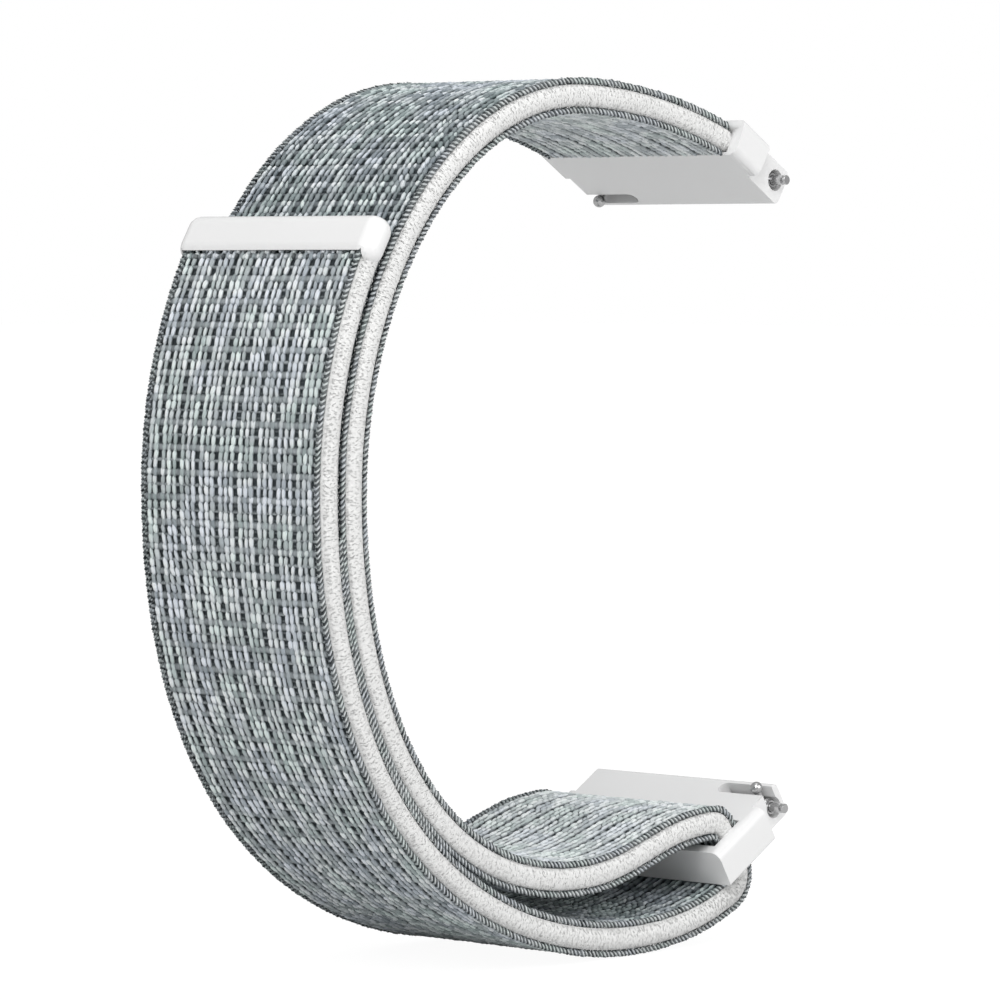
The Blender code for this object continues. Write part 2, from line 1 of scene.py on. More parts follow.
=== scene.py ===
# %% [markdown]
# # A woven nylon watch strap that closes with hooks and loops
# The real strap is one long band. It leaves a white connector at the top, goes round the wrist,
# passes through the slot of the lower connector, folds back and lies on itself up to a white end
# tab. This lesson dresses that band in yarn: dark ground, pale strands, twisted edge binding and
# a knitted selvedge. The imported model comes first, because every piece has to follow it.

import json
import math
from collections import namedtuple

import bmesh
import bpy
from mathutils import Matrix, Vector


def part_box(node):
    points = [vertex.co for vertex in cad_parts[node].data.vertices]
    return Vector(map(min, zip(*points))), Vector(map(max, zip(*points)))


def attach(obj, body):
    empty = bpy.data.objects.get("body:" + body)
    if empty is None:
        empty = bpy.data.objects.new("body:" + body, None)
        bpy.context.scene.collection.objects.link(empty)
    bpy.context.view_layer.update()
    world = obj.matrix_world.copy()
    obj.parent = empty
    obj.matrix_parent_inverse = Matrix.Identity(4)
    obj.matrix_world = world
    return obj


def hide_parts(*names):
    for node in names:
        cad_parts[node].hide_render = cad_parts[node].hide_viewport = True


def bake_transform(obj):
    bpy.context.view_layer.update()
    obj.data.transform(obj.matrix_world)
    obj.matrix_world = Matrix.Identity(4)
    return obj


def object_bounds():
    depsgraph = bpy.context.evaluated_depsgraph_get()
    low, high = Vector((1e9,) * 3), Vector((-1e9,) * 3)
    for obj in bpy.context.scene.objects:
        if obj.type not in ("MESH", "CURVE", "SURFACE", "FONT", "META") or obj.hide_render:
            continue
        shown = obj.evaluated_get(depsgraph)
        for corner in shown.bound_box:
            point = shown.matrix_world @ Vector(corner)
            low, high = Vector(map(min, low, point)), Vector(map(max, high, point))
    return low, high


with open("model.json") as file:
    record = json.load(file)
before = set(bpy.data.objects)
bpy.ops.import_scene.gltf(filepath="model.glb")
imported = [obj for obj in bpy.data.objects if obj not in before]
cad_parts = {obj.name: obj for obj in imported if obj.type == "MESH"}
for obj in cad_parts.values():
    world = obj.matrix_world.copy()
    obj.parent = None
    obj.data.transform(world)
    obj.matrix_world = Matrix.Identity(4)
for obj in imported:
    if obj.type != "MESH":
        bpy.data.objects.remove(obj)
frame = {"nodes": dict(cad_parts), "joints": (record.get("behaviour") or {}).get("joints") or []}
cad_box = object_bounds()
mm = 0.001

# %% [markdown]
# # Two short helpers
# Blender keeps an object apart from its data, and a new object is in no collection yet, so a
# piece is added in two steps. They come up for every piece here, and so does the step that turns
# what a modifier makes into a plain mesh, which is what the export reads.

# %% Helpers for objects
def add_object(name, data):
    body = bpy.data.objects.new(name, data)
    bpy.context.scene.collection.objects.link(body)
    return body


def settle(body):
    """Makes what the modifiers of an object show its own plain mesh, and removes them."""
    bpy.context.view_layer.update()
    evaluated = body.evaluated_get(bpy.context.evaluated_depsgraph_get())
    mesh = bpy.data.meshes.new_from_object(evaluated)
    body.modifiers.clear()
    body.data = mesh
    return mesh


print("helpers are ready")

# %% [markdown]
# # Where the camera stands
# The photograph was taken from the tail's side with a long lens, so lines across the strap stay
# nearly parallel. The lens and the distance were worked out from how those lines tilt: level near
# a quarter of the picture's height, falling below it. One known point, the near end of a line
# half way between the bars, ties the camera to the picture.

# %% Camera
camera_turn = math.radians(47.0)
camera_tilt = math.radians(2.65)
picture_side = 1000.0
focal_pixels = 5250.0
aim_point = Vector((0.0, -10.0 * mm, 0.0))
aim_pixel = (775.3, 494.7)
aim_depth = 438.0 * mm
sensor_width = 36.0
nearest_seen = 0.01
farthest_seen = 20.0

ahead = Vector((
    math.sin(camera_turn) * math.cos(camera_tilt),
    math.cos(camera_turn) * math.cos(camera_tilt),
    -math.sin(camera_tilt),
))
right = Vector((math.cos(camera_turn), -math.sin(camera_turn), 0.0))
up = right.cross(ahead)
aside = (aim_pixel[0] - picture_side / 2) / focal_pixels * aim_depth
above = (picture_side / 2 - aim_pixel[1]) / focal_pixels * aim_depth

camera_data = bpy.data.cameras.new("photograph")
camera_data.sensor_width = sensor_width
camera_data.lens = sensor_width * focal_pixels / picture_side
camera_data.clip_start = nearest_seen
camera_data.clip_end = farthest_seen
camera = add_object("photograph", camera_data)
camera.location = aim_point - (right * aside + up * above + ahead * aim_depth)
camera.rotation_mode = "QUATERNION"
camera.rotation_quaternion = ahead.to_track_quat("-Z", "Y")
bpy.context.scene.camera = camera
print("camera at mm", [round(c / mm, 1) for c in camera.location])

# %% [markdown]
# # Node trees written as sums
# Shader and geometry trees are mostly arithmetic. A wire wraps one output socket, and adding or
# multiplying wires adds the Math node that does it. Every other node comes from one method, which
# takes the node's type, its settings and the values or wires of its sockets.

# %% Wires and boards
class Wire:
    """An output socket that Python can add, subtract, multiply and divide."""

    def __init__(self, board, socket):
        self.board = board
        self.socket = socket

    def math(self, operation, *others, kind="ShaderNodeMath"):
        values = dict(enumerate((self, *others)))
        return self.board.node(kind, {"operation": operation}, values)

    def __add__(self, other):
        return self.math("ADD", other)

    __radd__ = __add__

    def __mul__(self, other):
        return self.math("MULTIPLY", other)

    __rmul__ = __mul__

    def __sub__(self, other):
        return self.math("SUBTRACT", other)

    def __rsub__(self, other):
        return self * -1.0 + other

    def __truediv__(self, other):
        return self.math("DIVIDE", other)

    def __mod__(self, other):
        return self.math("MODULO", other)

    def floor(self):
        return self.math("FLOOR")

    def within(self, low, high):
        return self.math("MAXIMUM", low).math("MINIMUM", high)

    def axis(self, letter):
        return self.board.node("ShaderNodeSeparateXYZ", None, {0: self}, letter)

    def vector(self, operation, *others):
        return self.math(operation, *others, kind="ShaderNodeVectorMath")

    def times(self, number):
        """Scales a vector."""
        sockets = {"Vector": self, "Scale": number}
        return self.board.node("ShaderNodeVectorMath", {"operation": "SCALE"}, sockets)


class Board:
    """A node tree that is being wired."""

    def __init__(self, tree):
        self.tree = tree

    def node(self, kind, settings=None, sockets=None, output=None):
        """Adds a node and returns its first shown output, or the one that is named."""
        made = self.tree.nodes.new(kind)
        for name, value in (settings or {}).items():
            if name == "stops":
                self.set_stops(made.color_ramp, value)
            else:
                setattr(made, name, value)
        for key, value in (sockets or {}).items():
            socket = self.find(made.inputs, key)
            if isinstance(value, Wire):
                self.tree.links.new(value.socket, socket)
            else:
                socket.default_value = value
        if not made.outputs:
            return made
        return Wire(self, self.find(made.outputs, 0 if output is None else output))

    @staticmethod
    def find(sockets, key):
        shown = [socket for socket in sockets if socket.enabled]
        if isinstance(key, int):
            return shown[key]
        return next(socket for socket in shown if socket.name == key)

    @staticmethod
    def set_stops(ramp, stops):
        while len(ramp.elements) < len(stops):
            ramp.elements.new(1.0)
        for element, (place, shade) in zip(ramp.elements, stops):
            element.position = place
            element.color = (*shade, 1.0)

    def mix(self, factor, first, second, blend="MIX"):
        """Mixes two shades, each a wire or three plain numbers."""
        sockets = {"Factor": factor}
        for key, shade in (("A", first), ("B", second)):
            sockets[key] = shade if isinstance(shade, Wire) else (*shade, 1.0)
        return self.node("ShaderNodeMix", {"data_type": "RGBA", "blend_type": blend}, sockets)

    def ramp(self, factor, stops):
        return self.node("ShaderNodeValToRGB", {"stops": stops}, {"Fac": factor})

    def noise(self, place, scale, detail=2.0):
        sockets = {"Vector": place, "Scale": scale, "Detail": detail}
        return self.node("ShaderNodeTexNoise", None, sockets)

    def attribute(self, name, output="Fac"):
        return self.node("ShaderNodeAttribute", {"attribute_name": name}, None, output)

    def place(self):
        return self.node("ShaderNodeTexCoord", None, None, "Object")


def grey(level):
    return (level, level, level)


print("wires and boards are ready")

# %% [markdown]
# # A finish is a Principled surface with a pattern behind it
# The same few sockets change over every surface here: colour, roughness and the bump. A finish
# is therefore one function that makes the material, hands back its board, and joins the pattern
# to the shader at the end. Coat, metal and shine stay plain numbers on the shader.

# %% Finishes
def new_finish(name):
    material = bpy.data.materials.new(name)
    material.use_nodes = True
    return material, Board(material.node_tree)


def join_finish(material, board, colour, roughness, height=None, depth=0.0, **plain):
    shader = material.node_tree.nodes["Principled BSDF"]
    for socket, value in (("Base Color", colour), ("Roughness", roughness)):
        if isinstance(value, Wire):
            board.tree.links.new(value.socket, shader.inputs[socket])
        else:
            shader.inputs[socket].default_value = value
    for socket, value in plain.items():
        shader.inputs[socket.replace("_", " ")].default_value = value
    if height is not None:
        sockets = {"Strength": 1.0, "Distance": depth, "Height": height}
        bump = board.node("ShaderNodeBump", None, sockets)
        board.tree.links.new(bump.socket, shader.inputs["Normal"])
    return material


print("finish helpers are ready")

# %% [markdown]
# # Yarn finishes
# Nylon yarn is a bundle of fine filaments, with small shifts towards violet-blue and green from
# the dye lot. Each stitch also gets a painted highlight on its crown and painted shade on its
# flanks, where it dives between its neighbours. A pattern on a flat sheet would look flat from
# the side, so each stitch is a body of its own. It brings three attributes: tone, a random
# number, rise, how high a point is on the stitch, and twist, the place along and across it that
# the filament lines follow. One face of the band has pale yarn; where that face lies on the
# wrist, turned away from the light, it gets the same yarn painted lighter. The loop face has
# darker yarn. A middle shade crosses the broad ribs.

# %% Yarns
filaments_along = 1.6
filaments_across = 4.2
filament_shade = 0.26
filament_depth = 0.02 * mm
painted_highlight_gain = 3.4
painted_highlight_start = 2.35
lit_gain = 1.9
lit_start = 0.55
least_lit = 0.10
dye_scale = 310.0
dye_stops = ((0.38, (0.82, 0.85, 1.0)), (0.50, grey(1.0)), (0.62, (0.84, 1.0, 0.92)))
flank_start = 1.75
flank_fall = 2.4
deepest_flank = 0.85
painted_flank_shade = (0.02, 0.03, 0.034)
yarn_roughness = 0.58
filament_roughness = 0.12
yarn_shine = 0.2


def yarn_finish(name, low, high, painted_highlight, tint_strength, painted_depth_shade=0.0):
    """Yarn whose colour goes from low to high with its tone, and to a painted highlight at its top.

    The depth shade is painted shade: it darkens a stitch's flanks, where it dives between its
    neighbours.
    """
    material, board = new_finish(name)
    tone = board.attribute("tone")
    rise = board.attribute("rise")
    twist = board.attribute("twist", "Vector")
    lines = twist.axis("X") * filaments_along + twist.axis("Y") * filaments_across
    lines = (lines * math.pi).math("SINE") * 0.5 + 0.5
    # Painted highlight: the top of each bead is painted towards a paler colour, more on beads whose
    # tone is high.
    top = (rise * painted_highlight_gain - painted_highlight_start).within(0.0, 1.0)
    lit = (tone * lit_gain - lit_start).within(least_lit, 1.0)
    shade = board.mix(top * lit, board.mix(tone, low, high), painted_highlight)
    tint = board.ramp(board.noise(board.place(), dye_scale, detail=3.0), dye_stops)
    shade = board.mix(tint_strength, shade, tint, "MULTIPLY")
    shade = board.mix(lines * filament_shade, shade, low)
    # Painted shade: each bead's flanks are painted darker towards its bottom, where it dives
    # between its neighbours.
    flank = (flank_start - rise * flank_fall).within(0.0, deepest_flank)
    shade = board.mix(flank * painted_depth_shade, shade, painted_flank_shade)
    roughness = yarn_roughness + lines * filament_roughness
    return join_finish(
        material, board, shade, roughness, lines, filament_depth, Specular_IOR_Level=yarn_shine
    )


# The third colour of each yarn below is its painted highlight.
pale_strand = yarn_finish(
    "pale strand", (0.34, 0.38, 0.39), (0.86, 0.91, 0.93), (0.98, 1.0, 1.0),
    tint_strength=0.4, painted_depth_shade=0.8,
)
# Painted light: this is the pale strand's yarn painted lighter, for the face where it lies on the
# wrist side, turned down and away from the light.
wrist_strand = yarn_finish(
    "wrist strand", (0.44, 0.48, 0.49), (0.88, 0.92, 0.92), (0.98, 1.0, 1.0),
    tint_strength=0.3, painted_depth_shade=0.6,
)
loop_strand = yarn_finish(
    "loop strand", (0.16, 0.19, 0.20), (0.50, 0.55, 0.57), (0.90, 0.94, 0.96),
    tint_strength=0.4, painted_depth_shade=0.9,
)
crossing_yarn = yarn_finish(
    "crossing yarn", (0.24, 0.28, 0.29), (0.74, 0.79, 0.81), (0.98, 1.0, 1.0),
    tint_strength=0.4, painted_depth_shade=0.6,
)
binding_yarn = yarn_finish(
    "edge binding yarn", (0.016, 0.022, 0.025), (0.52, 0.56, 0.57), (0.92, 0.95, 0.95),
    tint_strength=0.3,
)
selvedge_yarn = yarn_finish(
    "selvedge yarn", (0.74, 0.74, 0.735), (0.86, 0.86, 0.85), (0.92, 0.92, 0.91),
    tint_strength=0.02,
)
hook_plastic = yarn_finish(
    "hook plastic", (0.10, 0.12, 0.13), (0.22, 0.25, 0.27), (0.34, 0.38, 0.40),
    tint_strength=0.1,
)
yarns = (pale_strand, wrist_strand, loop_strand, crossing_yarn, binding_yarn, selvedge_yarn)
print("yarns", [yarn.name for yarn in yarns], "and", hook_plastic.name)

# %% [markdown]
# # The ground under the strands
# Between the strands one looks down to dark yarn, crossed by weft ribs. The ribs are modelled in
# the sheet, and an attribute named rib says how high each point lies. The ground's own yarn is
# dark, and it is painted darker still the lower a point lies, as painted shade, so pits come out
# nearly black and ribs grey. A second attribute, thread, measures along and across the band in
# millimetres, and streaks of wear follow it round every bend.

# %% Grounds
rib_light = 0.9
fuzz_light = 0.35
pit_level = 0.17
fuzz_scale = 5200.0
fuzz_depth = 0.04 * mm
streak_stretch = (1.1, 4.2, 1.0)
streak_gain = 1.6
streak_start = 0.66
ground_roughness = 0.82
fuzz_roughness = 0.15


def ground_finish(name, pit, rib_shade):
    material, board = new_finish(name)
    fuzz = board.noise(board.place(), fuzz_scale, detail=3.0)
    # Painted shade on top of the ground's own dark yarn: the lower a point lies, the closer its
    # colour comes to the pit colour.
    lift = board.attribute("rib") * rib_light + fuzz * fuzz_light - pit_level
    shade = board.mix(lift.within(0.0, 1.0), pit, rib_shade)
    thread = board.attribute("thread", "Vector").vector("MULTIPLY", streak_stretch)
    streak = board.noise(thread, 1.0) * streak_gain - streak_start
    shade = board.mix(streak.math("MAXIMUM", 0.0), shade, pit)
    roughness = ground_roughness + fuzz * fuzz_roughness
    return join_finish(material, board, shade, roughness, fuzz, fuzz_depth)


woven_ground = ground_finish("woven ground", (0.020, 0.028, 0.032), (0.46, 0.50, 0.52))
loop_ground = ground_finish("loop ground", (0.016, 0.024, 0.028), (0.26, 0.29, 0.31))
hook_ground = ground_finish("hook tape", (0.05, 0.06, 0.065), (0.16, 0.18, 0.19))
print("grounds", woven_ground.name, loop_ground.name, hook_ground.name)

# %% [markdown]
# # The finish of the knit
# The selvedge is knitted from off-white textured thread, whose whites differ a little from curl
# to curl. Its finish adds up three noises: clouds a few millimetres wide, curls drawn out
# across the way by stretching the thread attribute, and fibres too fine to see one by one.

# %% Selvedge finish
curl_stretch = (6.5, 2.4, 2.4)
curl_light = 1.5
fibre_scale = 6400.0
fibre_light = 0.9
fibre_height = 0.6
cloud_scale = 240.0
cloud_light = 0.3
knit_level = 0.86
knit_whites = ((0.66, 0.66, 0.655), (0.89, 0.89, 0.88))
knit_roughness = 0.75
fibre_roughness = 0.2
knit_depth = 0.035 * mm


def selvedge_finish():
    material, board = new_finish("selvedge knit")
    place = board.place()
    thread = board.attribute("thread", "Vector").vector("MULTIPLY", curl_stretch)
    curl = board.noise(thread, 1.0, detail=4.0)
    fibre = board.noise(place, fibre_scale, detail=3.0)
    cloud = board.noise(place, cloud_scale)
    lift = curl * curl_light + fibre * fibre_light + cloud * cloud_light - knit_level
    shade = board.mix(lift.within(0.0, 1.0), *knit_whites)
    roughness = knit_roughness + fibre * fibre_roughness
    return join_finish(material, board, shade, roughness, curl + fibre * fibre_height, knit_depth)


selvedge_core = selvedge_finish()
print("finish of the knit:", selvedge_core.name)

# %% [markdown]
# # Moulded plastic and polished steel
# The connectors and the tab are glossy white mouldings: almost no pattern, only a faint waviness
# in the gloss and a slight cloudiness. The spring bars are turned steel, with fine rings left by
# the lathe and small changes in gloss.

# %% Plastic and steel
plastic_cloud_scale = 90.0
orange_peel_scale = 900.0
orange_peel_depth = 0.006 * mm
plastic_gloss = 0.20
plastic_gloss_change = 0.10
lathe_turns = 42000.0
ring_height = 0.4
smear_scale = 700.0
steel_gloss = 0.16
steel_gloss_change = 0.14
lathe_depth = 0.003 * mm


def plastic_finish():
    material, board = new_finish("white moulded plastic")
    place = board.place()
    cloud = board.noise(place, plastic_cloud_scale)
    orange_peel = board.noise(place, orange_peel_scale)
    colour = board.mix(cloud, grey(0.83), grey(0.87))
    roughness = plastic_gloss + cloud * plastic_gloss_change
    return join_finish(
        material, board, colour, roughness, orange_peel, orange_peel_depth,
        Coat_Weight=0.25, Coat_Roughness=0.12,
    )


def steel_finish():
    material, board = new_finish("polished steel")
    place = board.place()
    rings = (place.axis("Y") * lathe_turns).math("SINE") * 0.5 + 0.5
    smear = board.noise(place, smear_scale, detail=3.0)
    colour = board.mix(smear, (0.50, 0.50, 0.51), grey(0.62))
    roughness = steel_gloss + smear * steel_gloss_change
    height = rings * ring_height + smear
    return join_finish(material, board, colour, roughness, height, lathe_depth, Metallic=1.0)


white_plastic = plastic_finish()
polished_steel = steel_finish()
print("rigid finishes", white_plastic.name, polished_steel.name)

# %% [markdown]
# # Reading the way of the band
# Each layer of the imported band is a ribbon. Its flat side face is one closed outline, with two
# long runs and two short ends. Pairing the points of both runs gives the middle line, so the
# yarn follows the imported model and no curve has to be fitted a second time.

# %% Outline of a ribbon
weld = 0.002 * mm


def flat_vector(point):
    return Vector((point.x, point.z))


def side_outline(node):
    """The outline of a ribbon's flat side, in order, and all of the ribbon's points."""
    work = bmesh.new()
    work.from_mesh(frame["nodes"][node].data)
    bmesh.ops.remove_doubles(work, verts=work.verts, dist=weld)
    far = max(corner.co.y for corner in work.verts)
    flat = {face for face in work.faces if all(far - corner.co.y < weld for corner in face.verts)}
    beside = {}
    for edge in work.edges:
        if sum(face in flat for face in edge.link_faces) == 1:
            first, second = edge.verts
            beside.setdefault(first, []).append(second)
            beside.setdefault(second, []).append(first)
    outline = [next(iter(beside))]
    while True:
        onward = [corner for corner in beside[outline[-1]] if corner not in outline[-2:-1]]
        if onward[0] is outline[0]:
            break
        outline.append(onward[0])
    points = [flat_vector(corner.co) for corner in outline]
    cloud = [flat_vector(corner.co) for corner in work.verts]
    work.free()
    return points, cloud


def paired_middle(outline):
    """Points midway between the two long runs of a ribbon's outline."""
    count = len(outline)
    half = count // 2

    def pair(turn, n):
        return outline[(turn + n) % count], outline[(turn - 1 - n) % count]

    def widest(turn):
        return max((a - b).length for a, b in (pair(turn, n) for n in range(half)))

    best = min(range(count), key=widest)
    return [(a + b) / 2 for a, b in (pair(best, n) for n in range(half))]


print("outlines can be read")

# %% [markdown]
# # An even line through the middle points
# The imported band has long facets, and stitches laid on them would show every corner. A smooth
# curve goes through the middle points, with a slope at each that is shared between both facets,
# and is then cut into equal steps, because the sweep and the stitches count by length.

# %% Even lines
line_step = 0.12 * mm


def smooth_line(points, step):
    """Evenly spaced points on a smooth curve through the given ones."""
    gaps = [(b - a).length for a, b in zip(points, points[1:])]
    runs = [(b - a) / gap for a, b, gap in zip(points, points[1:], gaps)]
    slopes = [runs[0]]
    for before, after, gap, next_gap in zip(runs, runs[1:], gaps, gaps[1:]):
        slopes.append((before * next_gap + after * gap) / (gap + next_gap))
    slopes.append(runs[-1])
    dense = [points[0]]
    for n, gap in enumerate(gaps):
        pieces = max(1, math.ceil(2 * gap / step))
        for k in range(1, pieces + 1):
            t = k / pieces
            start = points[n] * (1 + 2 * t) * (1 - t) ** 2 + slopes[n] * gap * t * (1 - t) ** 2
            end = points[n + 1] * t * t * (3 - 2 * t) - slopes[n + 1] * gap * t * t * (1 - t)
            dense.append(start + end)
    return even_line(dense, step)


def even_line(points, step):
    marks = [0.0]
    for a, b in zip(points, points[1:]):
        marks.append(marks[-1] + (b - a).length)
    count = round(marks[-1] / step)
    line = []
    n = 0
    for k in range(count + 1):
        wanted = marks[-1] * k / count
        while n < len(marks) - 2 and marks[n + 1] < wanted:
            n += 1
        share = (wanted - marks[n]) / (marks[n + 1] - marks[n])
        line.append(points[n].lerp(points[n + 1], min(1.0, share)))
    return line


def line_length(line):
    return sum((b - a).length for a, b in zip(line, line[1:]))


def heading_at(line, n):
    return (line[min(n + 1, len(line) - 1)] - line[max(n - 1, 0)]).normalized()


def left_of(heading):
    return Vector((-heading.y, heading.x))


print("line step mm", line_step / mm)

# %% [markdown]
# # What is known of each ribbon
# A ribbon is its middle line and its half sizes. The line is made to run from the upper
# connector towards the tail's end, and to reach as far as the ribbon's own points do. The half
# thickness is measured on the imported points, so that a new pack needs no new number here.

# %% Reading each ribbon
near_end = 2.0 * mm
points_to_read = 90
steps_at_ends = 10
Ribbon = namedtuple("Ribbon", "line half_thick half_wide")


def reach_past(cloud, end, away):
    """How far a ribbon's own points go on past the end of its middle line."""
    return max((point - end).dot(away) for point in cloud if (point - end).length < near_end)


def half_thickness(line, cloud):
    """Distance from the middle line to the faces, read at some of the ribbon's points."""
    found = []
    for point in cloud[:: max(1, len(cloud) // points_to_read)]:
        n = min(range(len(line)), key=lambda k: (line[k] - point).length_squared)
        if steps_at_ends <= n < len(line) - steps_at_ends:
            found.append(abs((point - line[n]).dot(left_of(heading_at(line, n)))))
    return max(found)


def read_ribbon(node, starts_at_peel):
    outline, cloud = side_outline(node)
    middle = paired_middle(outline)
    peel = Vector((peel_joint["pos_m"][0], peel_joint["pos_m"][2]))
    if ((middle[0] - peel).length < (middle[-1] - peel).length) != starts_at_peel:
        middle.reverse()
    first = (middle[0] - middle[1]).normalized()
    last = (middle[-1] - middle[-2]).normalized()
    middle.insert(0, middle[0] + first * reach_past(cloud, middle[0], first))
    middle.append(middle[-1] + last * reach_past(cloud, middle[-1], last))
    line = smooth_line(middle, line_step)
    return Ribbon(line, half_thickness(line, cloud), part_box(node)[1].y)


peel_joint = next(joint for joint in frame["joints"] if joint["name"] == "tail_peel")
band_nodes = ("band_core", "band_show_face", "band_loop_face")
tail_nodes = ("tail_core", "tail_show_face", "tail_loop_face", "tail_hook_tape")
ribbons = {node: read_ribbon(node, False) for node in band_nodes}
ribbons.update({node: read_ribbon(node, True) for node in tail_nodes})
for node, ribbon in ribbons.items():
    sizes = (line_length(ribbon.line), ribbon.half_thick, ribbon.half_wide)
    print(node, "length, half thickness and half width mm", [round(s / mm, 3) for s in sizes])

# %% [markdown]
# # Closing the seam at the peel line
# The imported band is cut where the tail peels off, with a narrow gap there. Cloth has no such
# gap, so both ends are carried on to meet in the middle of it.

# %% Meeting ends
def meet(first, second):
    """Carries the end of one ribbon and the start of the next on to the middle of their gap."""
    middle = (first.line[-1] + second.line[0]) / 2
    return first._replace(line=[*first.line, middle]), second._replace(line=[middle, *second.line])


seams = [*zip(band_nodes, tail_nodes), ("tail_loop_face", "tail_hook_tape")]
for before, after in seams:
    ribbons[before], ribbons[after] = meet(ribbons[before], ribbons[after])
print("seams closed", len(seams))

# %% [markdown]
# # Sweeping a section along the way
# A sheet of the band is one ring of points, repeated at each station and joined by quads. The
# ring may change along the way, which is how the weft ribs are pressed into the ground.

# %% Sweep
def sweep(name, line, ring, material):
    """A closed body. ring(length) gives (across, out, rib) for each point of the section."""
    points = []
    ribs = []
    threads = []
    length = 0.0
    for n, spot in enumerate(line):
        if n:
            length += (spot - line[n - 1]).length
        left = left_of(heading_at(line, n))
        section = ring(length)
        for across, out, rib in section:
            points.append((spot.x + left.x * out, across, spot.y + left.y * out))
            ribs.append(rib)
            threads.extend((length / mm, across / mm, out / mm))
    count = len(section)
    faces = [tuple(range(count)), tuple(range(len(points) - count, len(points)))]
    for n in range(len(line) - 1):
        for k in range(count):
            a = n * count + k
            b = n * count + (k + 1) % count
            faces.append((a, b, b + count, a + count))
    mesh = bpy.data.meshes.new(name)
    mesh.from_pydata(points, [], faces)
    mesh.attributes.new("rib", "FLOAT", "POINT").data.foreach_set("value", ribs)
    mesh.attributes.new("thread", "FLOAT_VECTOR", "POINT").data.foreach_set("vector", threads)
    work = bmesh.new()
    work.from_mesh(mesh)
    bmesh.ops.recalc_face_normals(work, faces=work.faces)
    work.to_mesh(mesh)
    work.free()
    mesh.shade_smooth()
    mesh.materials.append(material)
    return add_object(name, mesh)


print("sweep is ready")

# %% [markdown]
# # Stitches along the way, with Geometry Nodes
# Strands, binding and knit are all small beads of yarn in rows and columns. One tree lays them,
# and its named inputs hold the sizes, so the same tree weaves a face, binds an edge and knits
# the selvedge. Every random number has its own draw, so that one size can change and no other
# number moves with it.

# %% Inputs of the stitch tree
whole = "NodeSocketInt"
number = "NodeSocketFloat"
tree_inputs = (
    ("Way", "NodeSocketObject", None),
    ("Material", "NodeSocketMaterial", None),
    # Faces round and along each bead
    ("Segments", whole, 6),
    ("Rings", whole, 4),
    # Rows along the way, where each one can move towards its neighbour
    ("Start", number, 0.0),
    ("Pitch", number, 1.0 * mm),
    ("First row", whole, 0),
    ("Pairing", number, 0.0),
    # Columns across the way, where each odd one can lag behind by a share of a row
    ("Columns", whole, 1),
    ("Spread", number, 0.0),
    ("Group gap", number, 0.0),
    ("Stagger", number, 0.0),
    # Place of the whole patch, its roll about the way, and how it bulges
    ("Across", number, 0.0),
    ("Out", number, 0.0),
    ("Roll", number, 0.0),
    ("Height", number, 0.0),
    ("Fan", number, 0.0),
    ("Sag", number, 0.0),
    # Turn of a bead in the face: by its column, for all, at random and in patches
    ("Slant", number, 0.0),
    ("Lean", number, 0.0),
    ("Sway", number, 0.0),
    ("Patch sway", number, 0.0),
    # Size of a bead
    ("Bead length", number, 1.0 * mm),
    ("Bead width", number, 0.5 * mm),
    ("Bead depth", number, 0.3 * mm),
    # What differs from bead to bead: place, size and tone
    ("Wander", number, 0.0),
    ("Vary", number, 0.0),
    ("Alternate", number, 0.0),
    ("Column tone", number, 0.0),
    ("Seed", whole, 1),
)
draws = {
    "along": 11, "aside": 23, "tone": 37, "length": 41,
    "width": 43, "depth": 47, "slant": 53, "column": 61,
}
print("inputs", len(tree_inputs), "draws", len(draws))

# %% [markdown]
# # Counting beads
# The tree starts from points that lie nowhere yet, one for each bead. All it knows of a bead is
# its index, so the row and the column are worked out from that, and whether they are odd or
# even. The random numbers hang on the index too, so each bead gets the same ones on every run.

# %% Counting beads
rounding_slack = 0.0001


class StitchBoard(Board):
    """The board of the stitch tree, with its inputs and each bead's row and column."""

    def __init__(self, tree):
        super().__init__(tree)
        given = tree.nodes.new("NodeGroupInput")
        self.take = {name: Wire(self, given.outputs[name]) for name, _, _ in tree_inputs}
        self.index = self.node("GeometryNodeInputIndex")
        columns = self.take["Columns"]
        self.row = (self.index / columns + rounding_slack).floor()
        self.column = self.index - self.row * columns
        self.odd_row = (self.row + self.take["First row"]) % 2.0
        self.odd_column = self.column % 2.0

    def random(self, low, high, draw, each=None):
        seed = self.take["Seed"] + draws[draw]
        sockets = {"Min": low, "Max": high, "ID": each or self.index, "Seed": seed}
        return self.node("FunctionNodeRandomValue", {"data_type": "FLOAT"}, sockets)

    def varied(self, size, draw, reach=1.0):
        return self.take[size] * (self.random(-reach, reach, draw) * self.take["Vary"] + 1.0)


print("beads can be counted")

# %% [markdown]
# # Where a bead lies
# First the band is thought of as flat: a bead lies so far along it and so far aside, moved a
# little at random. Then the way is sampled at that length, which gives the band's own directions
# there, and the bead stands off from the way by its height. Directions that are rolled by a
# quarter turn put a patch on the band's edge, and half a turn puts it on the other face.

# %% Place of a bead
strands_in_group = 3.0
no_division_by_zero = 1e-9


def flat_place(board):
    """How far along and aside a bead lies, and its share of the way to the outermost column."""
    take = board.take

    def from_first(columns):
        group = (columns / strands_in_group + rounding_slack).floor()
        return columns * take["Spread"] + group * take["Group gap"]

    half_span = from_first(take["Columns"] - 1.0) * 0.5
    aside = from_first(board.column) - half_span
    share = aside / (half_span + no_division_by_zero)
    along = (board.row + 0.5 + board.odd_column * take["Stagger"]) * take["Pitch"] + take["Start"]
    along = along + (1.0 - board.odd_row * 2.0) * take["Pairing"]
    along = along + board.random(-1.0, 1.0, "along") * take["Wander"]
    aside = aside + board.random(-1.0, 1.0, "aside") * take["Wander"]
    return along, aside, share


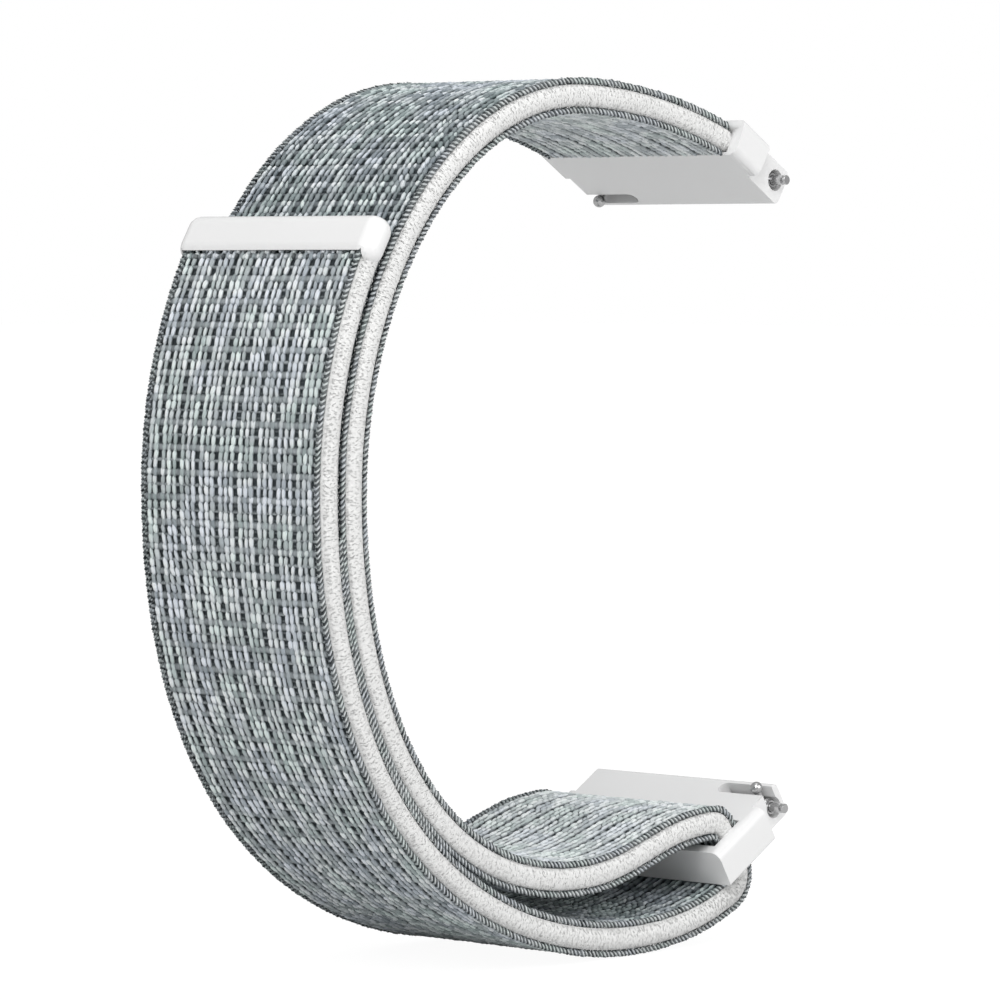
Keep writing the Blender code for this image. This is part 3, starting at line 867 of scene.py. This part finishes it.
def place_on_way(board, curve):
    """A bead's place, the direction of the way there, and the direction that the bead faces."""
    take = board.take
    along, aside, share = flat_place(board)
    sampled = board.tree.nodes.new("GeometryNodeSampleCurve")
    sampled.mode = "LENGTH"
    board.tree.links.new(curve.socket, sampled.inputs["Curves"])
    board.tree.links.new(along.socket, sampled.inputs["Length"])
    spot = Wire(board, sampled.outputs["Position"])
    tangent = Wire(board, sampled.outputs["Tangent"])
    left = tangent.vector("CROSS_PRODUCT", (0.0, 1.0, 0.0))
    beside = board.node("ShaderNodeCombineXYZ", None, {"Y": 1.0})

    def rolled(angle):
        cosine = angle.math("COSINE")
        sine = angle.math("SINE")
        outward = left.times(cosine).vector("ADD", beside.times(sine))
        return outward, beside.times(cosine).vector("SUBTRACT", left.times(sine))

    upward, sideways = rolled(take["Roll"])
    facing, _ = rolled(take["Roll"] + take["Fan"] * share)
    height = take["Height"] - share * share * take["Sag"]
    moves = ((left, take["Out"]), (beside, take["Across"]), (sideways, aside), (upward, height))
    for direction, distance in moves:
        spot = spot.vector("ADD", direction.times(distance))
    return spot, tangent, facing


print("beads can be placed")

# %% [markdown]
# # One bead of yarn
# Seen from above, a stitch is a short swelling of yarn that dives at both ends. A ball with few
# faces, stretched along the yarn, is close to that and cheap enough to be laid in thousands.
# Before it is stretched, each point of it stores where it lies, and the finishes read that.

# %% Bead of yarn
def stored(geometry, kind, name, value):
    """Keeps a value on every point, under a name that the finishes read."""
    settings = {"data_type": kind, "domain": "POINT"}
    sockets = {"Geometry": geometry, "Name": name, "Value": value}
    return geometry.board.node("GeometryNodeStoreNamedAttribute", settings, sockets)


def yarn_bead(board):
    sockets = {"Segments": board.take["Segments"], "Rings": board.take["Rings"], "Radius": 0.5}
    ball = board.node("GeometryNodeMeshUVSphere", None, sockets)
    own = board.node("GeometryNodeInputPosition").times(2.0)
    ball = stored(ball, "FLOAT", "rise", own.axis("Z") * 0.5 + 0.5)
    return stored(ball, "FLOAT_VECTOR", "twist", own)


print("bead is ready")

# %% [markdown]
# # What tells beads apart
# No two stitches of real cloth are alike. A bead has a tone, a turn in the face and a size of
# its own. Tones are random in a strand and go by turns in a twisted yarn, with one ply dark and
# one pale. A slow noise turns whole patches of stitches together, as handling does.

# %% Tone, turn and size
own_tone_share = 0.25
width_variety = 1.6
patch_scale = 115.0
patch_gain = 4.0


def bead_tone(board):
    tone = board.random(0.0, 1.0, "tone")
    checker = (board.odd_row + board.odd_column) % 2.0
    plies = checker * (1.0 - own_tone_share) + tone * own_tone_share
    tone = tone + (plies - tone) * board.take["Alternate"]
    shared_tone = board.random(0.0, 1.0, "column", board.column)
    return tone + (shared_tone - tone) * board.take["Column tone"]


def bead_turn(board, spot, tangent, facing):
    """Turns a bead along the way and outwards, and then slants it in the face."""
    take = board.take
    axes = {"primary_axis": "X", "secondary_axis": "Z"}
    sockets = {"Primary Axis": tangent, "Secondary Axis": facing}
    turned = board.node("FunctionNodeAxesToRotation", axes, sockets)
    slant = take["Slant"] * (1.0 - board.odd_column * 2.0) + take["Lean"]
    slant = slant + board.random(-1.0, 1.0, "slant") * take["Sway"]
    patch = board.noise(spot, patch_scale, detail=1.0) * patch_gain - patch_gain / 2
    slant = slant + patch * take["Patch sway"]
    sockets = {"Axis": (0.0, 0.0, 1.0), "Angle": slant}
    spin = board.node("FunctionNodeAxisAngleToRotation", None, sockets)
    sockets = {"Rotation": turned, "Rotate By": spin}
    return board.node("FunctionNodeRotateRotation", {"rotation_space": "LOCAL"}, sockets)


def bead_size(board):
    return board.node("ShaderNodeCombineXYZ", None, {
        "X": board.varied("Bead length", "length"),
        "Y": board.varied("Bead width", "width", width_variety),
        "Z": board.varied("Bead depth", "depth"),
    })


print("tone, turn and size are ready")

# %% [markdown]
# # The tree as a whole
# Points are made, placed and toned, a bead is put on each, and the instances are made real,
# because an export drops instances. Setting the material inside the tree keeps the finish with
# the stitches when the result becomes a plain mesh.

# %% Stitch tree
def build_stitch_tree():
    tree = bpy.data.node_groups.new("stitches along the band", "GeometryNodeTree")
    identifiers = {}
    for name, kind, value in tree_inputs:
        socket = tree.interface.new_socket(name, in_out="INPUT", socket_type=kind)
        if value is not None:
            socket.default_value = value
        identifiers[name] = socket.identifier
    tree.interface.new_socket("Geometry", in_out="OUTPUT", socket_type="NodeSocketGeometry")
    board = StitchBoard(tree)
    take = board.take
    curve = board.node("GeometryNodeObjectInfo", None, {"Object": take["Way"]}, "Geometry")
    full = board.node("GeometryNodeCurveLength", None, {"Curve": curve})
    rows = ((full - take["Start"]) / take["Pitch"] - take["Stagger"] + 0.5).floor()
    cloud = board.node("GeometryNodePoints", None, {"Count": rows * take["Columns"]})
    spot, tangent, facing = place_on_way(board, curve)
    placed = board.node("GeometryNodeSetPosition", None, {"Geometry": cloud, "Position": spot})
    sockets = {
        "Points": stored(placed, "FLOAT", "tone", bead_tone(board)),
        "Instance": yarn_bead(board),
        "Rotation": bead_turn(board, spot, tangent, facing),
        "Scale": bead_size(board),
    }
    beads = board.node("GeometryNodeInstanceOnPoints", None, sockets)
    real = board.node("GeometryNodeRealizeInstances", None, {"Geometry": beads})
    real = board.node("GeometryNodeSetShadeSmooth", None, {"Geometry": real, "Shade Smooth": True})
    sockets = {"Geometry": real, "Material": take["Material"]}
    finished = board.node("GeometryNodeSetMaterial", None, sockets)
    result = tree.nodes.new("NodeGroupOutput")
    tree.links.new(finished.socket, result.inputs["Geometry"])
    return tree, identifiers


stitch_tree, stitch_inputs = build_stitch_tree()
print("stitch tree has", len(stitch_tree.nodes), "nodes")

# %% [markdown]
# # Running the tree
# The way of a ribbon becomes a curve object that the tree samples. The evaluated result is
# turned into a plain mesh, and the curve and the modifier go away again.

# %% Laying stitches
def way_curve(name, line):
    data = bpy.data.curves.new(name, "CURVE")
    data.dimensions = "3D"
    spline = data.splines.new("POLY")
    spline.points.add(len(line) - 1)
    for slot, spot in zip(spline.points, line):
        slot.co = (spot.x, 0.0, spot.y, 1.0)
    return add_object(name, data)


def lay_stitches(name, line, material, sizes):
    way = way_curve(name + "_way", line)
    body = add_object(name, bpy.data.meshes.new(name))
    modifier = body.modifiers.new("stitches", "NODES")
    modifier.node_group = stitch_tree
    for label, value in {"Way": way, "Material": material, **sizes}.items():
        modifier[stitch_inputs[label]] = value
    settle(body)
    bpy.data.objects.remove(way, do_unlink=True)
    return body


def joined(name, bodies):
    with bpy.context.temp_override(active_object=bodies[0], selected_editable_objects=bodies):
        bpy.ops.object.join()
    bodies[0].name = name
    return bodies[0]


def triangles_of(body):
    return sum(len(face.vertices) - 2 for face in body.data.polygons)


print("laying is ready")

# %% [markdown]
# # Moving with the tail
# The tail peels off about a line across the band. Cloth bends there over a short way and does
# not break. The start and the end of that short way are worked out here, and each tail piece has
# its place baked into its points.

# %% Riding
bend_length = 5.5 * mm
peel_start = ribbons["tail_core"].line[0]
peel_heading = heading_at(ribbons["tail_core"].line, 0)
peel_end = peel_start + peel_heading * bend_length


def goes_with(body, part, slot, *nodes):
    """Hides the nodes that a piece replaces and puts it under the body that it moves with; a tail
    piece has its place baked into its points instead. The slot is not used.
    """
    if nodes:
        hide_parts(*nodes)
    if part == "tail":
        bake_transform(body)
    else:
        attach(body, part)
    print(body.name, "on", part, "triangles", triangles_of(body))


# %% [markdown]
# # Woven ground of both faces
# Each face starts as a dark sheet with weft ribs. There is a rib at every row's end, and each
# second one is broader: that gives the pairs of rows that the eye sees first. The ribs are real
# steps in the sheet and not a bump in its finish, so that they still show at the band's bends.

# %% Grounds of the faces
row_pitch = 0.975 * mm
ground_drop = 0.27 * mm
rib_rise = 0.235 * mm
broad_rib = 0.30 * mm
fine_rib = 0.12 * mm
broad_crest = 0.70
fine_crest = 0.80
middle_thread = 0.035 * mm
thread_crest = 0.30
side_rib = 0.3
edge_turn = 0.12 * mm


def rib_at(length):
    """Height of the weft rib at a length along the band, from 0 in a pit to 1 at most."""
    rows = length / row_pitch
    nearest = round(rows)
    away = abs(rows - nearest) * row_pitch
    half, crest = (broad_rib, broad_crest) if nearest % 2 == 0 else (fine_rib, fine_crest)
    rib = crest * max(0.0, 1.0 - (away / half) ** 4)
    middle = abs(rows - math.floor(rows) - 0.5) * row_pitch
    thread = thread_crest * max(0.0, 1.0 - (middle / middle_thread) ** 2)
    return max(rib, thread)


def face_ring(ribbon, side, phase):
    """Section of a woven face: flat below, ribbed on the side that shows."""
    wide = ribbon.half_wide
    top = ribbon.half_thick

    def ring(length):
        rib = rib_at(length + phase)
        height = top - ground_drop + rib_rise * rib
        crest = side * height
        turned = side * (height - edge_turn)
        return [
            (-wide, -side * top, side_rib),
            (-wide, turned, side_rib),
            (-wide + edge_turn, crest, rib),
            (0.0, crest, rib),
            (wide - edge_turn, crest, rib),
            (wide, turned, side_rib),
            (wide, -side * top, side_rib),
        ]

    return ring


show_length = line_length(ribbons["band_show_face"].line)
loop_length = line_length(ribbons["band_loop_face"].line)
faces = (
    ("band_show_face", 1.0, 0.0, "strap", woven_ground),
    ("band_loop_face", -1.0, 0.0, "strap", loop_ground),
    ("tail_show_face", 1.0, show_length, "tail", woven_ground),
    ("tail_loop_face", -1.0, loop_length, "tail", loop_ground),
)
for node, side, phase, part, finish in faces:
    ribbon = ribbons[node]
    sheet = sweep(node + "_ground", ribbon.line, face_ring(ribbon, side, phase), finish)
    goes_with(sheet, part, "weave", node)

# %% [markdown]
# # Strands
# On the ground lie the strands, side by side in threes with a wider pit after every third. A
# strand surfaces once in each row, as one bead of yarn, and the beads nearly touch, so they read
# as one yarn that rises and dives. Over each broad rib a lower bead of its own crosses, swayed
# more than the rest, so that the yarn doesn't break off there.

# %% Sizes of the strands
strand_sizes = {
    "Pitch": row_pitch,
    "Columns": 26,
    "Spread": 0.620 * mm,
    "Group gap": 0.28 * mm,
    "Pairing": 0.125 * mm,
    "Bead length": 1.14 * mm,
    "Bead width": 0.48 * mm,
    "Bead depth": 0.38 * mm,
    "Lean": math.radians(4.0),
    "Sway": math.radians(7.0),
    "Patch sway": math.radians(14.0),
    "Wander": 0.06 * mm,
    "Vary": 0.17,
    "Column tone": 0.15,
}
crossing_sizes = {
    "Pitch": 2 * row_pitch,
    "Pairing": 0.0,
    "Bead length": 0.94 * mm,
    "Bead width": 0.45 * mm,
    "Bead depth": 0.34 * mm,
    "Sway": math.radians(14.0),
    "Vary": 0.25,
}
strand_sink = 0.15 * mm
crossing_sink = 0.158 * mm
print("strands in a face", strand_sizes["Columns"])

# %% [markdown]
# # Runs of one cloth
# A face goes on from the strap to the tail, and its rows have to go on too. So each run counts
# its rows from the band's start, whose distance is the run's phase. One face also changes its
# part at the lower crossbar: before it, it lies on the wrist, and after it, it is the outer
# side. It is laid in two runs, split where the band turns back round the crossbar.

# %% Runs of the band
early_row_share = 0.5
early_crossing_share = 0.4


def first_row(phase):
    """Number of the first row of a run, which may start half a row before the run does."""
    return math.ceil(phase / row_pitch - early_row_share)


def first_crossing(phase):
    """Where the first crossing bead's own stretch starts, one row before a broad rib."""
    pairs = math.ceil(phase / (2 * row_pitch) - early_crossing_share)
    return 2 * row_pitch * pairs - row_pitch - phase


def turning_point(line):
    """Where a ribbon turns back round the lower crossbar: its point farthest to the watch there."""
    low = [n for n, spot in enumerate(line) if spot.y < 0]
    return max(low, key=lambda n: line[n].x)


def split_ribbon(node):
    """The two runs of a ribbon of the band, before and after the crossbar."""
    line = ribbons[node].line
    turn = turning_point(line)
    return line[: turn + 1], line[turn:]


wrist_run, show_run = split_ribbon("band_show_face")
wrist_length = line_length(wrist_run)
band_loop = ribbons["band_loop_face"].line
tail_show = ribbons["tail_show_face"].line
tail_loop = ribbons["tail_loop_face"].line
print("wrist run ends at", round(wrist_length / mm, 1), "mm of", round(show_length / mm, 1))

# %% [markdown]
# # Laying the strands
# Five runs cover both faces, and each is laid twice: once for its rows, and once for the beads
# that cross its broad ribs. The strap's and the tail's run of a face share one seed.

# %% Strands of the faces
strands = (
    ("band_wrist_strands", "band_show_face", wrist_run, 0.0, "strap", wrist_strand, 7),
    ("band_show_strands", "band_show_face", show_run, wrist_length, "strap", pale_strand, 3),
    ("tail_show_strands", "tail_show_face", tail_show, show_length, "tail", pale_strand, 3),
    ("band_loop_strands", "band_loop_face", band_loop, 0.0, "strap", loop_strand, 5),
    ("tail_loop_strands", "tail_loop_face", tail_loop, loop_length, "tail", loop_strand, 5),
)
for name, node, line, phase, part, finish, seed in strands:
    top = ribbons[node].half_thick
    sizes = {
        **strand_sizes,
        "First row": first_row(phase),
        "Start": first_row(phase) * row_pitch - phase,
        "Roll": 0.0 if "show" in node else math.pi,
        "Height": top - strand_sink,
        "Seed": seed,
    }
    goes_with(lay_stitches(name, line, finish, sizes), part, "weave")
    sizes.update(crossing_sizes)
    sizes["Start"] = first_crossing(phase)
    sizes["Height"] = top - crossing_sink
    # On the wrist side the crossing beads take the yarn painted lighter as well.
    over_rib = wrist_strand if finish is wrist_strand else crossing_yarn
    goes_with(lay_stitches(name + "_crossing", line, over_rib, sizes), part, "weave")

# %% [markdown]
# # Edge binding
# Along every long edge a twisted yarn, one ply dark and one pale, holds the face to the
# selvedge. On the face it is a row of slanted beads whose tones alternate. A second row of
# longer beads leans over the side wall of the face, where the same yarn goes down to the
# selvedge. Real twisted plies could be modelled as two helices, but at this size beads that
# alternate look the same and need far fewer faces.

# %% Binding
binding_sizes = {
    "Segments": 5,
    "Rings": 3,
    "Pitch": 0.22 * mm,
    "Alternate": 0.94,
    "Wander": 0.02 * mm,
    "Vary": 0.14,
}
edge_stitch = {
    "Columns": 2,
    "Bead length": 0.34 * mm,
    "Bead width": 0.20 * mm,
    "Bead depth": 0.24 * mm,
    "Slant": math.radians(36.0),
    "Sway": math.radians(12.0),
    "Fan": math.radians(30.0),
}
wall_stitch = {
    "Bead length": 0.84 * mm,
    "Bead width": 0.26 * mm,
    "Bead depth": 0.34 * mm,
    "Sway": math.radians(8.0),
}
wall_lean = math.radians(46.0)
wall_rise = 0.06 * mm
wall_stand = 0.10 * mm
wall_seed = 60
binding_inset = 0.08 * mm
bindings = (
    ("band_show_binding", "band_show_face", 1.0, "strap", 13),
    ("band_loop_binding", "band_loop_face", -1.0, "strap", 15),
    ("tail_show_binding", "tail_show_face", 1.0, "tail", 17),
    ("tail_loop_binding", "tail_loop_face", -1.0, "tail", 19),
)
for name, node, side, part, seed in bindings:
    ribbon = ribbons[node]
    sizes = {
        **binding_sizes,
        **edge_stitch,
        "Spread": 2 * (ribbon.half_wide - binding_inset),
        "Roll": 0.0 if side > 0 else math.pi,
        "Height": ribbon.half_thick - strand_sink,
        "Seed": seed,
    }
    rows = [lay_stitches(name, ribbon.line, binding_yarn, sizes)]
    for edge in (1.0, -1.0):
        sizes = {
            **binding_sizes,
            **wall_stitch,
            "Roll": edge * math.pi / 2,
            "Lean": edge * wall_lean,
            "Across": edge * (ribbon.half_wide + wall_stand),
            "Out": side * wall_rise,
            "Seed": seed + wall_seed + int(edge),
        }
        rows.append(lay_stitches(f"{name}_{len(rows)}", ribbon.line, binding_yarn, sizes))
    goes_with(joined(name, rows), part, "weave")

# %% [markdown]
# # Knitted selvedge
# The thick pale edge is the side of the band's core: a convex knitted piping. Its body is swept
# along the core's way with a bulging section. Two things change on that way. The piping rounds
# off where it goes into the upper connector, and in the outer layer, past the fold, it stands
# out a little over the inner one, as cloth does that is wound round another.

# %% Selvedge body
core_inset = 0.02 * mm
piping_thick = 0.93 * mm
piping_wide = ribbons["band_core"].half_wide + 0.22 * mm
piping_start = piping_wide - 0.73 * mm
piping_root = 0.3 * mm
piping_steps = 8
piping_fullness = 0.8
piping_end = 0.9 * mm
smallest_end = 0.1
plain_rib = 0.6
layer_overhang = 0.16 * mm
overhang_run = 6.0 * mm
upper_mouth = line_length(ribbons["band_core"].line) - line_length(ribbons["band_show_face"].line)


def core_ring(ribbon, mouth, fold):
    """Flat core with a rounded piping along each edge, which rounds off at the mouth.

    Past the fold, in the outer layer, the piping stands out a little over the inner one.
    """
    thick = ribbon.half_thick - core_inset

    def ring(length):
        past = min(1.0, max(0.0, (length - fold) / overhang_run))
        reach = piping_wide + layer_overhang * past - piping_start
        left = min(1.0, max(0.0, (length - mouth) / piping_end))
        rounding = math.sqrt(max(0.0, 1.0 - (1.0 - left) ** 2))
        size = rounding * (1.0 - smallest_end) + smallest_end
        half = []
        for n in range(piping_steps + 1):
            turn = math.pi / 2 - math.pi * n / piping_steps
            across = piping_start + reach * size * abs(math.cos(turn)) ** piping_fullness
            half.append((across, max(thick, piping_thick * size) * math.sin(turn), plain_rib))
        inner = piping_start - piping_root
        section = [(inner, thick, plain_rib), *half, (inner, -thick, plain_rib)]
        return section + [(-across, out, rib) for across, out, rib in reversed(section)]

    return ring


inner_core, outer_core = split_ribbon("band_core")
for node, part, mouth, fold in (
    ("band_core", "strap", upper_mouth, line_length(inner_core)),
    ("tail_core", "tail", -piping_end, -overhang_run),
):
    ribbon = ribbons[node]
    core = sweep(node + "_piping", ribbon.line, core_ring(ribbon, mouth, fold), selvedge_core)
    goes_with(core, part, "core", node)

# %% [markdown]
# # Stitches of the knit
# On the piping lie fine strokes of thread, drawn across the way and each turned a little by
# itself, in staggered columns that follow its bulge. They give the curled, slightly fuzzy
# surface of a knit. Whole loops of thread would be truer close up, but at the photograph's size
# only their strokes can be told apart. The three runs are the inner layer, the outer layer up
# to the peel line, and the tail.

# %% Selvedge stitches
knit_sink = 0.01 * mm
knit_sizes = {
    "Segments": 5,
    "Rings": 3,
    "Pitch": 0.25 * mm,
    "Columns": 6,
    "Spread": 0.32 * mm,
    "Stagger": 0.5,
    "Fan": math.radians(38.0),
    "Sag": 0.22 * mm,
    "Bead length": 0.34 * mm,
    "Bead width": 0.09 * mm,
    "Bead depth": 0.04 * mm,
    "Lean": math.radians(90.0),
    "Sway": math.radians(38.0),
    "Wander": 0.14 * mm,
    "Vary": 0.20,
}
for name, line, part, extra, seed in (
    ("inner_knit", inner_core, "strap", 0.0, 31),
    ("outer_knit", outer_core, "strap", layer_overhang, 35),
    ("tail_knit", ribbons["tail_core"].line, "tail", layer_overhang, 33),
):
    for side, where in ((1.0, "far"), (-1.0, "near")):
        sizes = {
            **knit_sizes,
            "Roll": side * math.pi / 2,
            "Across": side * (piping_wide + extra - knit_sink),
            "Seed": seed + int(side),
        }
        knit = lay_stitches(f"{name}_{where}", line, selvedge_yarn, sizes)
        goes_with(knit, part, "core")

# %% [markdown]
# # Hook tape
# The tail's inner side carries the hooks. At rest they sit in the loops of the band and can't
# be seen, but they show when the tail is peeled: a dark tape with rows of small pins. A real
# hook is bent over at its top, which is far too small to see here, so a plain upright bead
# stands for each.

# %% Hooks
hook_ribbon = ribbons["tail_hook_tape"]
hook_sink = 0.16 * mm
tape_corner = 0.06 * mm
tape_rib = 0.5


def hook_ring(ribbon):
    """Section of the tape: square where it lies on the tail, with cut corners beside the hooks."""
    wide = ribbon.half_wide
    top = ribbon.half_thick
    hooks_side = [
        (wide, tape_corner - top / 2),
        (wide - tape_corner, -top / 2),
        (tape_corner - wide, -top / 2),
        (-wide, tape_corner - top / 2),
    ]
    outline = [(-wide, top), (wide, top), *hooks_side]
    return lambda length: [(across, out, tape_rib) for across, out in outline]


tape = sweep("tail_hook_tape_base", hook_ribbon.line, hook_ring(hook_ribbon), hook_ground)
goes_with(tape, "tail", "hooks", "tail_hook_tape")
hook_sizes = {
    "Pitch": 0.80 * mm,
    "Columns": 24,
    "Spread": 0.80 * mm,
    "Stagger": 0.5,
    "Roll": math.pi,
    "Height": hook_ribbon.half_thick - hook_sink,
    "Bead length": 0.30 * mm,
    "Bead width": 0.20 * mm,
    "Bead depth": 0.34 * mm,
    "Vary": 0.15,
    "Seed": 51,
}
goes_with(lay_stitches("tail_hooks", hook_ribbon.line, hook_plastic, hook_sizes), "tail", "hooks")

# %% [markdown]
# # Loops where the tail enters the tab
# At the tab's lower edge the last row of the weave stands up in short dark and pale loops. They
# are laid by the same tree, as one row of thick beads whose tones alternate.

# %% Loops under the tab
tab_row = 0.45 * mm
tab_mouth = 1.98 * mm
tab_loop_sink = 0.10 * mm
loop_sizes = {
    "Start": line_length(tail_show) - tab_mouth - tab_row,
    "Pitch": tab_row,
    "Columns": 24,
    "Spread": 0.78 * mm,
    "Height": ribbons["tail_show_face"].half_thick - tab_loop_sink,
    "Bead length": 0.55 * mm,
    "Bead width": 0.44 * mm,
    "Bead depth": 0.42 * mm,
    "Sway": math.radians(18.0),
    "Wander": 0.04 * mm,
    "Vary": 0.18,
    "Alternate": 1.0,
    "Seed": 71,
}
goes_with(lay_stitches("tab_loops", tail_show, binding_yarn, loop_sizes), "tail", "weave")

# %% [markdown]
# # Plastic and steel nodes
# Light on a glossy moulding shows every fault of its shading. Each white node is copied, its
# loose triangles are welded, its rounds are shaded smooth up to the crisp edges, and wide faces
# keep their own direction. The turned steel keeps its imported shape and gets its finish.

# %% Finish the rigid nodes
crisp_edge = math.radians(32.0)
flat_enough = math.radians(0.4)
flat_face_weight = 100


def softened(node, part):
    """A welded copy of a packed moulding with flat faces and smooth rounds, in its place."""
    work = bmesh.new()
    work.from_mesh(frame["nodes"][node].data)
    bmesh.ops.remove_doubles(work, verts=work.verts, dist=weld)
    bmesh.ops.dissolve_limit(work, angle_limit=flat_enough, verts=work.verts, edges=work.edges)
    mesh = bpy.data.meshes.new(node + "_soft")
    work.to_mesh(mesh)
    work.free()
    body = add_object(node + "_soft", mesh)
    mesh.shade_smooth()
    mesh.set_sharp_from_angle(angle=crisp_edge)
    shading = body.modifiers.new("flat faces stay flat", "WEIGHTED_NORMAL")
    shading.weight = flat_face_weight
    shading.keep_sharp = True
    mesh = settle(body)
    mesh.materials.clear()
    mesh.materials.append(white_plastic)
    goes_with(body, part, "white_plastic", node)


softened("upper_connector", "strap")
softened("lower_connector", "lower_end")
softened("end_tab", "tail")
for prefix in ("upper", "lower"):
    for piece in ("bar_tube", "fixed_tip", "sprung_tip", "lever", "coil_spring"):
        body = frame["nodes"][f"{prefix}_{piece}"]
        body.data.materials.clear()
        body.data.materials.append(polished_steel)
print("rigid nodes finished")

# %% [markdown]
# # Floor and light
# The photograph has a pure white ground. The floor stays a real floor that takes a soft shadow,
# and what the camera sees of it and of the world is white. More light on the strap would make
# the ground white too, but it would wash out the yarn.

# %% Floor and world
white = (*grey(1.0), 1.0)
floor_reach = 3.0
floor_gap = 0.2 * mm
floor_shade = (*grey(0.74), 1.0)
floor_roughness = 0.9
floor_glow = 1.12
floor_glow_share = 0.85
world_fill = 0.50


def build_floor():
    level = cad_box[0].z - floor_gap
    square = ((-1, -1), (1, -1), (1, 1), (-1, 1))
    corners = [(x * floor_reach, y * floor_reach, level) for x, y in square]
    mesh = bpy.data.meshes.new("floor")
    mesh.from_pydata(corners, [], [(0, 1, 2, 3)])
    material, board = new_finish("white floor")
    join_finish(material, board, floor_shade, floor_roughness)
    seen = board.node("ShaderNodeLightPath", None, None, "Is Camera Ray")
    glow = board.node("ShaderNodeEmission", None, {"Color": white, "Strength": floor_glow})
    plain = Wire(board, material.node_tree.nodes["Principled BSDF"].outputs[0])
    sockets = {0: seen * floor_glow_share, 1: plain, 2: glow}
    mixed = board.node("ShaderNodeMixShader", None, sockets)
    surface = material.node_tree.nodes["Material Output"].inputs["Surface"]
    board.tree.links.new(mixed.socket, surface)
    mesh.materials.append(material)
    add_object("floor", mesh)


def build_world():
    world = bpy.data.worlds.new("studio")
    bpy.context.scene.world = world
    world.use_nodes = True
    board = Board(world.node_tree)
    seen = board.node("ShaderNodeLightPath", None, None, "Is Camera Ray")
    sky = world.node_tree.nodes["Background"]
    sky.inputs["Color"].default_value = white
    strength = seen * (1.0 - world_fill) + world_fill
    board.tree.links.new(strength.socket, sky.inputs["Strength"])


build_floor()
build_world()
print("floor and world are in place")

# %% [markdown]
# # Lamps
# Large soft lamps at the camera's side and above give the light its direction, and the world
# fills the rest. Large lamps make no hard shadows between the stitches, and their reflections
# run along the mouldings as broad soft bands.

# %% Lamps
strap_middle = (cad_box[0] + cad_box[1]) / 2


def soft_lamp(name, place, size, power):
    data = bpy.data.lights.new(name, "AREA")
    data.shape = "DISK"
    data.size = size
    data.energy = power
    lamp = add_object(name, data)
    lamp.location = place
    lamp.rotation_mode = "QUATERNION"
    lamp.rotation_quaternion = (strap_middle - Vector(place)).to_track_quat("-Z", "Y")


soft_lamp("key", (0.10, -0.62, 0.30), size=0.40, power=1.35)
soft_lamp("left", (-0.50, -0.33, 0.42), size=0.40, power=2.1)
soft_lamp("top", (-0.15, -0.10, 0.70), size=0.50, power=0.9)
bpy.context.scene.view_settings.view_transform = "Standard"
print("lamps", [o.name for o in bpy.context.scene.objects if o.type == "LIGHT"])
